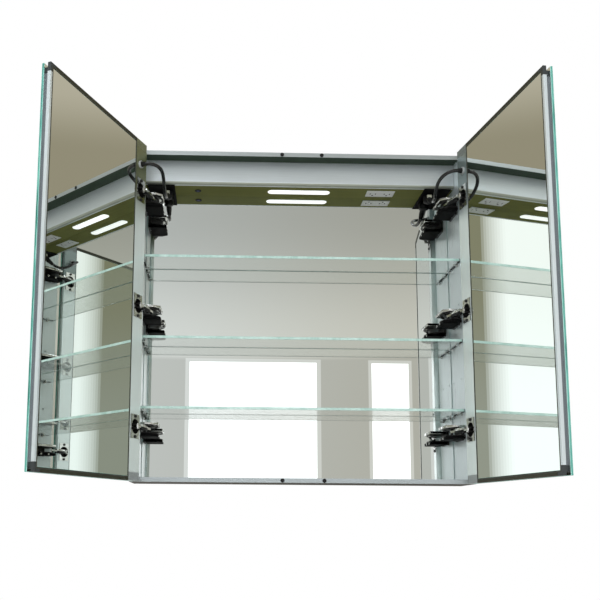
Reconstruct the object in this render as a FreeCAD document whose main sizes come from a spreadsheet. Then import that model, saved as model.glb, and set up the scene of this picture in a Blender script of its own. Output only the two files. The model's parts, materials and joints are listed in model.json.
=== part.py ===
import FreeCAD, Part
import math
import os
import re

# Two-door mirrored cabinet that hangs on a wall, with both doors standing open.
# The wall is the plane Y = 0, the front faces -Y, +Z is up, and the origin is the middle of the back.
# Lengths are in millimetres and angles in degrees.

doc = FreeCAD.newDocument("mirrored_cabinet")
sheet = doc.addObject("Spreadsheet::Sheet", "Sizes")
Vector = FreeCAD.Vector

sizes = {
    # body of the cabinet
    "body_width": 762,
    "body_height": 762,
    "body_depth": 118,
    "side_wall": 16,
    "side_skin": 2,
    "side_rib": 8,
    "rib_setback": 59,
    "deck": 6,
    "lip_height": 10,
    "lip_depth": 14,
    "back_board": 4,
    "back_glass": 4,
    "back_glass_overlap": 7,
    "mount_spacing": 406.4,
    "mount_hole": 6.5,
    "mount_drop": 31,
    # glass shelves and their pins
    "shelf_glass": 6,
    "shelf_setback": 10,
    "shelf_back_gap": 1,
    "shelf_side_gap": 1.5,
    "bottom_shelf_share": 0.2126,
    "middle_shelf_share": 0.42257,
    "top_shelf_share": 0.6706,
    "pin_diameter": 5,
    "pin_grip": 8,
    "pin_reach": 10,
    "pin_collar": 8,
    "pin_front_setback": 33,
    "pin_back_gap": 18,
    # light box under the top deck
    "box_setback": 40,
    "box_drop": 63,
    "box_sheet": 2,
    "box_bend": 8,
    "box_return": 3,
    "box_side_gap": 0.5,
    "device_depth_share": 0.5714,
    "lamp_length_share": 0.19554,
    "lamp_width": 22,
    "lamp_proud": 1,
    "lamp_flange": 3,
    "lamp_flange_height": 2,
    "board_thickness": 1.6,
    "board_margin": 2,
    "driver_length_share": 0.1706,
    "driver_width": 36,
    "driver_height": 24,
    "driver_offset_share": 0.2034,
    "switch_diameter": 16,
    "switch_proud": 1.2,
    "switch_barrel": 13,
    "switch_height": 16,
    "switch_nut": 20,
    "switch_nut_height": 4,
    "switch_offset_share": 0.3176,
    "outlet_length": 66.6,
    "outlet_width": 33,
    "outlet_proud": 1.5,
    "outlet_body_length": 60,
    "outlet_body_width": 28,
    "outlet_body_height": 24,
    "outlet_offset_share": 0.2572,
    "outlet_pitch": 34,
    "blade_gap": 12.7,
    "blade_width": 2,
    "blade_length": 7,
    "blade_depth": 12,
    "earth_diameter": 5,
    "earth_offset": 9,
    "outlet_box_wall": 1.5,
    "outlet_box_room": 2,
    # doors
    "door_gap": 2,
    "door_standoff": 2,
    "door_thickness": 20,
    "front_glass": 5,
    "groove_width": 8,
    "groove_depth": 6,
    "frame_lip": 6,
    "frame_wall": 2,
    "stile_width": 46,
    "rail_width": 18,
    "rebate_depth": 5,
    "gasket_width": 3,
    "gasket_slit": 2,
    "inner_glass": 4,
    "pad_thickness": 0.8,
    "pad_width": 220,
    "pad_height": 420,
    "pole_inset": 5,
    "pole_depth": 1.5,
    "left_open_angle": 113,
    "right_open_angle": 98,
    "full_open_angle": 115,
    "bumper_diameter": 9,
    "bumper_offset": 46,
    "bumper_gap": 0.3,
    # hinges
    "hinge_height_share": 0.34777,
    "plate_length": 48,
    "plate_height": 34,
    "plate_thickness": 4,
    "plate_setback": 50,
    "plate_screw_offset": 12.6,
    "arm_sheet": 2,
    "arm_gap": 13,
    "arm_front_gap": 2,
    "slot_gap": 0.9,
    "slot_rim": 3,
    "lever_length": 62,
    "lever_width": 7,
    "lever_thickness": 5,
    "lever_shut_angle": 80,
    "lever_open_angle": 71.7,
    "roller_diameter": 5,
    "knuckle_inset": 26,
    "knuckle_reach": 8,
    "knuckle_pin": 4,
    "knuckle_pin_head": 0.6,
    "ear_gap": 6,
    "ear_thickness": 2.5,
    "ear_width": 8,
    "cup_diameter": 35,
    "cup_depth": 11.5,
    "cup_wall": 1.5,
    "cup_inset": 24,
    "flange_length": 52,
    "flange_width": 35,
    "flange_thickness": 1.2,
    "flange_screw_offset": 22,
    # screws
    "screw_diameter": 3.5,
    "screw_head": 7,
    "screw_head_height": 2,
    "screw_length": 9,
    "screw_cross_width": 1,
    "screw_cross_depth": 1,
    # leads to the doors
    "lead_diameter": 8,
    "grommet_diameter": 17,
    "grommet_neck": 12,
    "grommet_reach": 4,
    "grommet_grip": 4,
    "grommet_inset": 29,
    "grommet_drop": 57,
    "gland_foot": 20,
    "gland_foot_height": 14,
    "gland_drop": 8,
    "gland_diameter": 13,
    "gland_reach": 26,
    "gland_tilt_angle": 30,
    "gland_neck": 10,
    "gland_neck_height": 5,
    "gland_inset": 50,
    "gland_back_gap": 22,
    # clearances
    "fit_gap": 0.05,
    "overrun": 1,
}

# Routes of the two leads, from the grommet in the door to the gland under the light box
left_lead_route = [
    (-364.665, -169.384, 324.0),
    (-354.54, -173.682, 324.0),
    (-343.4, -173.9, 323.4),
    (-332.8, -169.8, 322.0),
    (-324.6, -162.1, 319.0),
    (-319.5, -151.2, 314.0),
    (-317.9, -133.2, 305.2),
    (-317.0, -115.4, 292.9),
    (-315.6, -94.2, 285.4),
    (-315.0, -71.57, 286.0),
    (-315.0, -52.52, 297.0),
]
right_lead_route = [
    (357.058, -165.398, 324.0),
    (344.185, -167.207, 324.0),
    (330.8, -163.9, 321.6),
    (318.7, -154.8, 316.3),
    (311.1, -141.0, 307.7),
    (309.0, -126.4, 297.3),
    (310.2, -110.4, 287.3),
    (312.9, -93.4, 281.9),
    (315.0, -71.57, 286.0),
    (315.0, -52.52, 297.0),
]

for row, (name, value) in enumerate(sizes.items(), start=1):
    sheet.set("A%d" % row, name)
    sheet.set("B%d" % row, str(value))
    sheet.setAlias("B%d" % row, name)
doc.recompute()

nodes = []
spin_axis = Vector(0, 0, 1)
turns_of_z = {
    "x": FreeCAD.Rotation(Vector(0, 1, 0), 90),
    "y": FreeCAD.Rotation(Vector(1, 0, 0), -90),
    "z": FreeCAD.Rotation(),
}


def rule(text):
    # an expression on the sheet, from plain names of sizes
    return re.sub(r"[a-z_]+", lambda word: "Sizes." + word[0] if word[0] in sizes else word[0], text)


def size(name):
    return float(sheet.get(name))


def at(obj, x, y, z):
    for axis, text in zip("xyz", (x, y, z)):
        obj.setExpression("Placement.Base." + axis, rule(text))
    return obj


def box(name, low, high):
    # a block between two corners, each coordinate written as a rule
    obj = doc.addObject("Part::Box", name)
    for side, start, end in zip(("Length", "Width", "Height"), low, high):
        obj.setExpression(side, rule("(%s) - (%s)" % (end, start)))
    return at(obj, *low)


def rod(name, axis, diameter, length, base):
    # a cylinder that starts at base and runs along +axis
    obj = doc.addObject("Part::Cylinder", name)
    obj.Placement = FreeCAD.Placement(Vector(), turns_of_z[axis])
    obj.setExpression("Radius", rule("(%s) / 2" % diameter))
    obj.setExpression("Height", rule(length))
    return at(obj, *base)


def fuse(name, shapes):
    obj = doc.addObject("Part::MultiFuse", name)
    obj.Shapes = shapes
    obj.Refine = True
    return obj


def common(name, shapes):
    obj = doc.addObject("Part::MultiCommon", name)
    obj.Shapes = shapes
    return obj


def group(name, shapes):
    obj = doc.addObject("Part::Compound", name)
    obj.Links = shapes
    return obj


def cut(name, base, tools):
    obj = doc.addObject("Part::Cut", name)
    obj.Base = base
    obj.Tool = tools[0] if len(tools) == 1 else fuse(name + "_tools", tools)
    return obj


def mirror(name, source, normal):
    obj = doc.addObject("Part::Mirroring", name)
    obj.Source = source
    obj.Normal = normal
    return obj


def moved(name, source, x, y, z):
    return at(group(name, [source]), x, y, z)


def node(label, obj):
    obj.Label = label
    nodes.append(obj)
    return obj


def turned(obj, x, y, angle):
    # stands a piece at (x, y), turned about an upright axis
    obj.Placement = FreeCAD.Placement(Vector(), FreeCAD.Rotation(spin_axis, 1))
    obj.setExpression("Placement.Rotation.Angle", rule(angle))
    return at(obj, x, y, "0")


def pair(label, source):
    # the same piece on the left and, mirrored, on the right of the cabinet
    node("left_" + label, group(label + "_left", [source]))
    node("right_" + label, mirror(label + "_right", source, Vector(1, 0, 0)))


def hung_pair(label, source, left, right):
    # a moving piece drawn about its own turning axis, then stood at its place and angle on each side
    node("left_" + label, turned(group(label + "_left", [source]), *left))
    node("right_" + label, turned(mirror(label + "_right", source, Vector(1, 0, 0)), *right))


# Planes that several pieces share
half = "body_width/2"
inner = "(body_width/2 - side_wall)"
top = "body_height/2"
under = "(body_height/2 - deck)"
mirror_face = "-(back_board + back_glass)"
box_front = "(box_setback - body_depth)"
box_low = "(body_height/2 - box_drop)"
device_line = "(%s + device_depth_share * (%s - %s))" % (box_front, mirror_face, box_front)
lamp_length = "(body_width * lamp_length_share)"
driver_length = "(body_width * driver_length_share)"
driver_offset = "(body_width * driver_offset_share)"
switch_offset = "(body_width * switch_offset_share)"
outlet_offset = "(body_width * outlet_offset_share)"
shelf_rises = []
spare_rises = []
for level in ("bottom_shelf_share", "middle_shelf_share", "top_shelf_share"):
    shelf_rises.append("body_height * " + level)
for lower, upper in zip(shelf_rises, shelf_rises[1:]):
    spare_rises.append("(%s + %s) / 2" % (lower, upper))
screw_hole = "screw_diameter + 2 * fit_gap"
pin_lines = ["pin_front_setback - body_depth", mirror_face + " - pin_back_gap"]
hinge_heights = ["-body_height * hinge_height_share", "0", "body_height * hinge_height_share"]
across = "(%s - box_side_gap)" % inner
gland_line = mirror_face + " - gland_back_gap"


def pin_height(rise):
    # axis of a pin whose top carries glass at this height above the underside of the cabinet
    return "%s - %s - pin_diameter/2" % (rise, top)


def screw(name):
    # cross-head screw along -Z, with the underside of its head at Z = 0
    head = rod(name + "_head", "z", "screw_head", "screw_head_height", ("0", "0", "0"))
    shank = rod(name + "_shank", "z", "screw_diameter", "screw_length", ("0", "0", "-screw_length"))
    floor = "screw_head_height - screw_cross_depth"
    roof = "screw_head_height + overrun"
    half_width = "screw_cross_width/2"
    half_length = "screw_head/3"
    bars = []
    for label, x, y in (("a", half_width, half_length), ("b", half_length, half_width)):
        bars.append(box(name + "_bar_" + label, ("-" + x, "-" + y, floor), (x, y, roof)))
    return cut(name, fuse(name + "_blank", [head, shank]), bars)


def screws_along(name, axis, sign, places):
    # copies of the screw with their heads facing sign * axis
    toward = Vector(0, sign, 0) if axis == "y" else Vector(sign, 0, 0)
    source = screw(name + "_screw")
    aimed = group(name + "_aimed", [source])
    aimed.Placement = FreeCAD.Placement(Vector(), FreeCAD.Rotation(spin_axis, toward))
    return group(name, [moved("%s_%d" % (name, i), aimed, *place) for i, place in enumerate(places)])


# Side walls: hollow upright profiles with three ribs
def side_panel():
    shell = box("side_shell", ("-" + half, "-body_depth", "-" + under), ("-" + inner, "0", under))
    cuts = []
    channels = [
        ("side_rib - body_depth", "rib_setback - side_rib/2 - body_depth"),
        ("rib_setback + side_rib/2 - body_depth", "-side_rib"),
    ]
    for i, (front, back) in enumerate(channels):
        low = ("side_skin - " + half, front, "-%s - overrun" % under)
        high = ("-%s - side_skin" % inner, back, under + " + overrun")
        cuts.append(box("side_channel_%d" % i, low, high))
    skin_start = "-%s - side_skin - overrun" % inner
    skin_cut = "side_skin + 2 * overrun"
    for rise in shelf_rises + spare_rises:
        for line in pin_lines:
            place = (skin_start, line, pin_height(rise))
            cuts.append(rod("pin_hole", "x", "pin_diameter + 2 * fit_gap", skin_cut, place))
    for height in hinge_heights:
        for sign in "+-":
            z = "%s %s plate_screw_offset" % (height, sign)
            place = (skin_start, "plate_setback - body_depth", z)
            cuts.append(rod("plate_hole", "x", screw_hole, skin_cut, place))
    for y in ("side_rib/2 - body_depth", "-side_rib/2"):
        for z in ("-%s - overrun" % under, "%s - screw_length" % under):
            place = ("(side_wall - body_width) / 2", y, z)
            depth = "screw_length + overrun"
            cuts.append(rod("deck_hole", "z", screw_hole, depth, place))
    return cut("side_panel", shell, cuts)


pair("side_panel", side_panel())


# Decks: plates that cap the side walls, each with a lip between them along the front edge
def deck_places():
    xs = ("(side_wall - body_width) / 2", "(body_width - side_wall) / 2")
    return [(x, y) for x in xs for y in ("side_rib/2 - body_depth", "-side_rib/2")]


def top_deck():
    plate = box("deck_plate", ("-" + half, "-body_depth", under), (half, "0", top))
    lip_low = "%s - lip_height" % top
    lip = box("deck_lip", ("-" + inner, "-body_depth", lip_low), (inner, "lip_depth - body_depth", under))
    cuts = []
    for x, y in deck_places():
        cuts.append(rod("deck_screw_hole", "z", screw_hole, "deck", (x, y, under)))
        seat = "%s - screw_head_height" % top
        room = "screw_head_height + overrun"
        cuts.append(rod("deck_screw_seat", "z", "screw_head + 2 * fit_gap", room, (x, y, seat)))
    return cut("deck_with_lip", fuse("deck_blank", [plate, lip]), cuts)


deck_source = top_deck()
node("top_panel", group("top_deck", [deck_source]))
node("bottom_panel", mirror("bottom_deck", deck_source, Vector(0, 0, 1)))

deck_screw = screw("deck_screw")
head_seat = "%s - screw_head_height" % top
top_screws = []
for x, y in deck_places():
    top_screws.append(moved("top_screw", deck_screw, x, y, head_seat))
top_screw_set = group("top_screws", top_screws)
bottom_screw_set = mirror("bottom_screws", top_screw_set, Vector(0, 0, 1))
node("body_screws", group("deck_screws", [top_screw_set, bottom_screw_set]))

# Back board with two screw holes that the light box covers, and the mirror that lines the back
board = box("board_blank", ("-" + inner, "-back_board", "-" + under), (inner, "0", under))
mount_holes = []
for sign in "+-":
    place = ("%smount_spacing/2" % sign, "-back_board - overrun", "%s - mount_drop" % top)
    mount_holes.append(rod("mount_hole_tool", "y", "mount_hole", "back_board + 2 * overrun", place))
node("back_panel", cut("board", board, mount_holes))
mirror_top = "%s + back_glass_overlap" % box_low
low = ("-" + across, mirror_face, "-" + under)
node("back_mirror", box("back_glass_sheet", low, (across, "-back_board", mirror_top)))

# Glass shelves on pins in the side walls
shelf_edge = "(%s - shelf_side_gap)" % inner
for label, rise in zip(("bottom_shelf", "middle_shelf", "top_shelf"), shelf_rises):
    z = "%s - %s" % (rise, top)
    low = ("-" + shelf_edge, "shelf_setback - body_depth", z)
    high = (shelf_edge, "%s - shelf_back_gap" % mirror_face, z + " + shelf_glass")
    node(label, box(label + "_glass", low, high))

pins = []
for rise in shelf_rises:
    for y in pin_lines:
        z = pin_height(rise)
        start = "-%s - pin_grip" % inner
        stem = rod("pin_stem", "x", "pin_diameter", "pin_grip + pin_reach", (start, y, z))
        collar = rod("pin_ring", "x", "pin_collar", "shelf_side_gap - fit_gap", ("-" + inner, y, z))
        pins.append(fuse("pin", [stem, collar]))
left_pins = group("left_pins", pins)
node("shelf_pins", group("all_pins", [left_pins, mirror("right_pins", left_pins, Vector(1, 0, 0))]))


# Light box: a bent front cover, a base plate that carries the lamp, the switch and the outlet
def light_cover():
    bend_y = "%s + box_bend" % box_front
    bend_z = "%s + box_bend" % box_low
    front_back = box_front + " + box_sheet"
    front = box("cover_front", ("-" + across, box_front, bend_z), (across, front_back, under))
    turn_high = (across, bend_y + " + box_return", box_low + " + box_sheet")
    turn = box("cover_return", ("-" + across, bend_y, box_low), turn_high)
    start = ("-" + across, bend_y, bend_z)
    outside = rod("cover_bend_outside", "x", "2 * box_bend", "2 * %s" % across, start)
    inside = rod("cover_bend_inside", "x", "2 * (box_bend - box_sheet)", "2 * %s" % across, start)
    quarter = box("cover_quarter", ("-" + across, box_front, box_low), (across, bend_y, bend_z))
    bend = common("cover_bend", [cut("cover_ring", outside, [inside]), quarter])
    return fuse("light_cover", [front, turn, bend])


node("light_box_cover", light_cover())


def capsule(name, length, width, y, low, height):
    # round-ended bar along X
    reach = "((%s) - (%s)) / 2" % (length, width)
    ends = []
    for sign in "+-":
        ends.append(rod(name + "_end", "z", width, height, (sign + reach, y, low)))
    half_width = "(%s) / 2" % width
    low_corner = ("-" + reach, "%s - %s" % (y, half_width), low)
    high_corner = (reach, "%s + %s" % (y, half_width), "%s + %s" % (low, height))
    return fuse(name, [box(name + "_middle", low_corner, high_corner)] + ends)


base_top = "%s + box_sheet" % box_low
cut_low = "%s - overrun" % box_low
cut_height = "box_sheet + 2 * overrun"
cut_high = "%s + overrun" % base_top
outlet_half = "outlet_body_length/2 + fit_gap"
outlet_side = "outlet_body_width/2 + fit_gap"


def light_base():
    front = "%s + box_bend + box_return" % box_front
    plate = box("base_plate", ("-" + across, front, box_low), (across, mirror_face, base_top))
    window_length = lamp_length + " + 2 * fit_gap"
    window_width = "lamp_width + 2 * fit_gap"
    window = capsule("lamp_window", window_length, window_width, device_line, cut_low, cut_height)
    switch_place = ("-" + switch_offset, device_line, cut_low)
    switch_hole = rod("switch_hole", "z", "switch_barrel + 2 * fit_gap", cut_height, switch_place)
    low = ("%s - (%s)" % (outlet_offset, outlet_half), "%s - (%s)" % (device_line, outlet_side), cut_low)
    high = ("%s + %s" % (outlet_offset, outlet_half), "%s + %s" % (device_line, outlet_side), cut_high)
    outlet_hole = box("outlet_hole", low, high)
    gland_holes = []
    for sign in "+-":
        place = ("%s(%s - gland_inset)" % (sign, inner), gland_line, cut_low)
        gland_holes.append(rod("gland_hole", "z", "gland_neck + 2 * fit_gap", cut_height, place))
    return cut("light_base", plate, [window, switch_hole, outlet_hole] + gland_holes)


node("light_box_base", light_base())

lamp_low = "%s - lamp_proud" % box_low
lens = capsule("lamp_lens", lamp_length, "lamp_width", device_line, lamp_low, "lamp_proud + box_sheet")
rim_length = lamp_length + " + 2 * lamp_flange"
rim_width = "lamp_width + 2 * lamp_flange"
lens_flange = capsule("lamp_rim", rim_length, rim_width, device_line, base_top, "lamp_flange_height")
node("led_diffuser", fuse("lamp_diffuser", [lens, lens_flange]))
board_low = "%s + lamp_flange_height" % base_top
board_x = lamp_length + "/2 - board_margin"
board_y = "lamp_width/2 - board_margin"
low = ("-(%s)" % board_x, "%s - (%s)" % (device_line, board_y), board_low)
high = (board_x, "%s + %s" % (device_line, board_y), board_low + " + board_thickness")
node("led_board", box("lamp_board", low, high))
driver_y = "%s - driver_width/2" % device_line
low = ("-%s - %s/2" % (driver_offset, driver_length), driver_y, base_top)
driver_high = base_top + " + driver_height"
high = ("%s/2 - %s" % (driver_length, driver_offset), driver_y + " + driver_width", driver_high)
node("led_driver", box("lamp_driver", low, high))

switch_spot = ("-" + switch_offset, device_line)
switch_low = "%s - switch_proud" % box_low
switch_parts = [
    rod("switch_face", "z", "switch_diameter", "switch_proud", switch_spot + (switch_low,)),
    rod("switch_tube", "z", "switch_barrel", "switch_height", switch_spot + (box_low,)),
    rod("switch_ring", "z", "switch_nut", "switch_nut_height", switch_spot + (base_top,)),
]
node("touch_switch", fuse("switch", switch_parts))


# Duplex outlet in the base plate, with its box behind
def outlet():
    face_low = "%s - outlet_proud" % box_low
    corner = outlet_offset + " - outlet_length/2"
    low = (corner, "%s - outlet_width/2" % device_line, face_low)
    high = (corner + " + outlet_length", "%s + outlet_width/2" % device_line, box_low)
    face = box("outlet_face", low, high)
    corner = outlet_offset + " - outlet_body_length/2"
    low = (corner, "%s - outlet_body_width/2" % device_line, box_low)
    roof = "%s + outlet_body_height" % box_low
    high = (corner + " + outlet_body_length", "%s + outlet_body_width/2" % device_line, roof)
    cuts = []
    for sign in "+-":
        middle = "%s %s outlet_pitch/2" % (outlet_offset, sign)
        for side in "+-":
            x = "%s %s blade_gap/2" % (middle, side)
            slot_start = device_line + " - blade_length/2"
            slot_end = device_line + " + blade_length/2"
            slot_low = (x + " - blade_width/2", slot_start, face_low + " - overrun")
            slot_high = (x + " + blade_width/2", slot_end, face_low + " + blade_depth")
            cuts.append(box("blade_slot", slot_low, slot_high))
        spot = (middle, device_line + " + earth_offset", face_low + " - overrun")
        cuts.append(rod("earth_hole", "z", "earth_diameter", "blade_depth + overrun", spot))
    return cut("outlet", fuse("outlet_blank", [face, box("outlet_block", low, high)]), cuts)


node("outlet_receptacle", outlet())


def outlet_shell():
    room_x = "outlet_body_length/2 + outlet_box_room"
    room_y = "outlet_body_width/2 + outlet_box_room"
    room_top = "%s + outlet_body_height + outlet_box_room" % box_low
    room_low = base_top + " - overrun"
    low = ("%s - (%s)" % (outlet_offset, room_x), "%s - (%s)" % (device_line, room_y), room_low)
    high = ("%s + %s" % (outlet_offset, room_x), "%s + %s" % (device_line, room_y), room_top)
    wall = "outlet_box_wall"
    outer_low = (low[0] + " - " + wall, low[1] + " - " + wall, base_top)
    outer_high = (high[0] + " + " + wall, high[1] + " + " + wall, high[2] + " + " + wall)
    outside = box("outlet_shell_outside", outer_low, outer_high)
    return cut("outlet_shell", outside, [box("outlet_room", low, high)])


node("outlet_box", outlet_shell())

# Doors, drawn shut about the upright axis that each one turns on.
# Along a door runs from its hinge edge, and depth runs from its inner face towards its front glass.
door_width = "((body_width - door_gap) / 2)"
frame_depth = "(door_thickness - front_glass)"
pole_x = "(body_width/2 - pole_inset)"
pole_y = "-(body_depth + door_standoff + door_thickness - pole_depth)"
left_hang = ("-" + pole_x, pole_y, "-left_open_angle")
right_hang = (pole_x, pole_y, "right_open_angle")


def along(text):
    return "(%s) - pole_inset" % text


def deep(text):
    return "door_thickness - pole_depth - (%s)" % text


def door_box(name, start, end, face, back, low, high):
    return box(name, (along(start), deep(back), low), (along(end), deep(face), high))


def door_rod(name, diameter, start, face, back, height):
    # a cylinder square to the door, between two depths
    return rod(name, "y", diameter, "(%s) - (%s)" % (back, face), (along(start), deep(back), height))


groove_face = frame_depth + " - groove_width"
groove_back = frame_depth + " + overrun"
rail_inner = "%s - rail_width" % top
lip_edge = "%s - frame_lip" % top
latch_lip = "%s - frame_lip" % door_width
latch_inner = "%s - rail_width" % door_width
web_face = "rebate_depth + frame_wall"
web_back = frame_depth + " - frame_wall"


def top_groove(start, end):
    floor = "%s - groove_depth" % top
    return door_box("groove_top", start, end, groove_face, groove_back, floor, top + " + overrun")


def latch_groove(low, high):
    edge = "%s - groove_depth" % door_width
    return door_box("groove_latch", edge, door_width + " + overrun", groove_face, groove_back, low, high)


def hinge_groove(low, high):
    return door_box("groove_hinge", "-overrun", "groove_depth", groove_face, groove_back, low, high)


def latch_rebate(low, high):
    start = latch_inner + " - overrun"
    return door_box("rebate_latch", start, latch_lip, "-overrun", "rebate_depth", low, high)


def hinge_stile():
    low = "-(%s)" % rail_inner
    shell = door_box("hinge_stile_shell", "0", "stile_width", "0", frame_depth, low, rail_inner)
    run_low = low + " - overrun"
    run_high = rail_inner + " + overrun"
    hollow_start = "groove_depth + frame_wall"
    hollow_end = "stile_width - frame_wall"
    hollow = door_box("stile_hollow", hollow_start, hollow_end, "frame_wall", web_back, run_low, run_high)
    cuts = [hinge_groove(run_low, run_high), hollow]
    skin_back = "frame_wall + overrun"
    for height in hinge_heights:
        cup_room = "cup_diameter + 2 * fit_gap"
        cup_floor = "cup_depth + fit_gap"
        cuts.append(door_rod("cup_bore", cup_room, "cup_inset", "-overrun", cup_floor, height))
        for sign in "+-":
            z = "%s %s flange_screw_offset" % (height, sign)
            cuts.append(door_rod("cup_screw_hole", screw_hole, "cup_inset", "-overrun", skin_back, z))
    grommet_z = "%s - grommet_drop" % top
    neck = "grommet_neck + 2 * fit_gap"
    cuts.append(door_rod("grommet_hole", neck, "grommet_inset", "-overrun", skin_back, grommet_z))
    return cut("hinge_stile", shell, cuts)


def latch_stile():
    low = "-(%s)" % rail_inner
    shell = door_box("latch_stile_shell", latch_inner, door_width, "0", frame_depth, low, rail_inner)
    run_low = low + " - overrun"
    run_high = rail_inner + " + overrun"
    hollow_start = latch_inner + " + frame_wall"
    hollow_end = "%s - groove_depth - frame_wall" % door_width
    hollow = door_box("latch_hollow", hollow_start, hollow_end, web_face, web_back, run_low, run_high)
    groove = latch_groove(run_low, run_high)
    return cut("latch_stile", shell, [groove, latch_rebate(run_low, run_high), hollow])


def top_rail():
    shell = door_box("top_rail_shell", "stile_width", latch_inner, "0", frame_depth, rail_inner, top)
    start = "stile_width - overrun"
    end = latch_inner + " + overrun"
    rebate_low = rail_inner + " - overrun"
    rebate = door_box("rebate_top", start, end, "-overrun", "rebate_depth", rebate_low, lip_edge)
    hollow_low = rail_inner + " + frame_wall"
    hollow_high = "%s - groove_depth - frame_wall" % top
    hollow = door_box("rail_hollow", start, end, web_face, web_back, hollow_low, hollow_high)
    return cut("rail", shell, [top_groove(start, end), rebate, hollow])


def corner_caps():
    run_low = rail_inner + " - overrun"
    run_high = top + " + overrun"
    hinge_block = door_box("hinge_cap_block", "0", "stile_width", "0", frame_depth, rail_inner, top)
    hinge_cuts = [hinge_groove(run_low, run_high), top_groove("-overrun", "stile_width + overrun")]
    latch_block = door_box("latch_cap_block", latch_inner, door_width, "0", frame_depth, rail_inner, top)
    latch_cuts = [latch_groove(run_low, run_high), latch_rebate(run_low, lip_edge)]
    latch_cuts.append(top_groove(latch_inner + " - overrun", door_width + " + overrun"))
    caps = [cut("hinge_cap", hinge_block, hinge_cuts), cut("latch_cap", latch_block, latch_cuts)]
    upper = group("upper_caps", caps)
    return group("caps", [upper, mirror("lower_caps", upper, Vector(0, 0, 1))])


glass_start = "stile_width + gasket_slit"
glass_end = latch_lip + " - gasket_width"
glass_top = lip_edge + " - gasket_width"


def gasket():
    low = "-(%s)" % lip_edge
    ring = door_box("gasket_blank", "stile_width", latch_lip, "0", "rebate_depth", low, lip_edge)
    low = "-(%s)" % glass_top
    back = "rebate_depth + overrun"
    room = door_box("gasket_room", glass_start, glass_end, "-overrun", back, low, glass_top)
    return cut("gasket", ring, [room])


def hung(label, source):
    hung_pair(label, source, left_hang, right_hang)


front_sheet = door_box("front_sheet", "0", door_width, frame_depth, "door_thickness", "-" + top, top)
hung("door_front_mirror", front_sheet)
inner_face = "rebate_depth - inner_glass"
low = "-(%s)" % glass_top
inner_sheet = door_box("inner_sheet", glass_start, glass_end, inner_face, "rebate_depth", low, glass_top)
hung("door_back_mirror", inner_sheet)
hung("door_mirror_gasket", gasket())
hung("door_hinge_stile", hinge_stile())
hung("door_latch_stile", latch_stile())
rail_source = top_rail()
hung("door_top_rail", rail_source)
hung("door_bottom_rail", mirror("rail_below", rail_source, Vector(0, 0, 1)))
hung("door_corner_caps", corner_caps())
pad_start = "(%s - pad_width + stile_width) / 2" % door_width
pad_face = frame_depth + " - pad_thickness"
pad_end = pad_start + " + pad_width"
pad = door_box("heater_pad", pad_start, pad_end, pad_face, frame_depth, "-pad_height/2", "pad_height/2")
hung("door_defogger_pad", pad)

grommet_height = "%s - grommet_drop" % top
spot = "grommet_inset"
grommet_parts = [
    door_rod("grommet_flange", "grommet_diameter", spot, "-grommet_reach", "0", grommet_height),
    door_rod("grommet_stem", "grommet_neck", spot, "0", "grommet_grip", grommet_height),
]
hung("door_cable_grommet", fuse("grommet", grommet_parts))

# Soft stops on the lips, where the shut doors meet
bumpers = []
for sign in "+-":
    thickness = "door_standoff - bumper_gap"
    place = ("%sbumper_offset" % sign, "-body_depth - (%s)" % thickness, "%s - lip_height/2" % top)
    bumpers.append(rod("bumper", "y", "bumper_diameter", thickness, place))
upper_bumpers = group("upper_bumpers", bumpers)
lower_bumpers = mirror("lower_bumpers", upper_bumpers, Vector(0, 0, 1))
node("door_bumpers", group("bumpers", [upper_bumpers, lower_bumpers]))

# Hinges: a cup in the door, a lever on its knuckle pin, and a slotted arm on the wall for the lever's roller


def three(name, source):
    # the same piece at the three hinge heights
    return group(name, [moved(name + "_copy", source, "0", "0", z) for z in hinge_heights])


def hinge_cup():
    start = "cup_inset - flange_width/2"
    end = "cup_inset + flange_width/2"
    half_length = "flange_length/2"
    face = "-flange_thickness"
    flange = door_box("cup_flange", start, end, face, "0", "-" + half_length, half_length)
    body = door_rod("cup_body", "cup_diameter", "cup_inset", "0", "cup_depth", "0")
    floor = "cup_depth - cup_wall"
    cup_bore = "cup_diameter - 2 * cup_wall"
    bore = door_rod("cup_room", cup_bore, "cup_inset", face + " - overrun", floor, "0")
    holes = [bore]
    for sign in "+-":
        z = sign + "flange_screw_offset"
        holes.append(door_rod("flange_hole", screw_hole, "cup_inset", face + " - overrun", "overrun", z))
    shell = cut("cup_shell", fuse("cup_blank", [flange, body]), holes)
    ears = []
    ear_start = "knuckle_inset - ear_width/2"
    ear_low = "ear_gap/2"
    for sign in "+-":
        low = ear_low if sign == "+" else "-ear_gap/2 - ear_thickness"
        spot = (along("knuckle_inset"), deep("-knuckle_reach"), low)
        high = low + " + ear_thickness"
        ear_end = ear_start + " + ear_width"
        plate = door_box("ear_plate", ear_start, ear_end, "-knuckle_reach", floor, low, high)
        ears.append(fuse("ear", [plate, rod("ear_tip", "z", "ear_width", "ear_thickness", spot)]))
    spot = (along("knuckle_inset"), deep("-knuckle_reach"), "-ear_gap/2 - ear_thickness - overrun")
    length = "ear_gap + 2 * (ear_thickness + overrun)"
    pin_hole = rod("ear_hole", "z", "knuckle_pin + 2 * fit_gap", length, spot)
    return cut("hinge_cup", fuse("cup_with_ears", [shell] + ears), [pin_hole])


hung("hinge_cups", three("cups", hinge_cup()))
pin_half = "(ear_gap/2 + ear_thickness + knuckle_pin_head)"
pin_spot = (along("knuckle_inset"), deep("-knuckle_reach"), "-" + pin_half)
hung("hinge_pins", three("knuckles", rod("knuckle", "z", "knuckle_pin", "2 * %s" % pin_half, pin_spot)))
cup_screw_places = []
for height in hinge_heights:
    for sign in "+-":
        z = "%s %s flange_screw_offset" % (height, sign)
        cup_screw_places.append((along("cup_inset"), deep("-flange_thickness"), z))
hung("hinge_cup_screws", screws_along("cup_screws", "y", 1, cup_screw_places))

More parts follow.
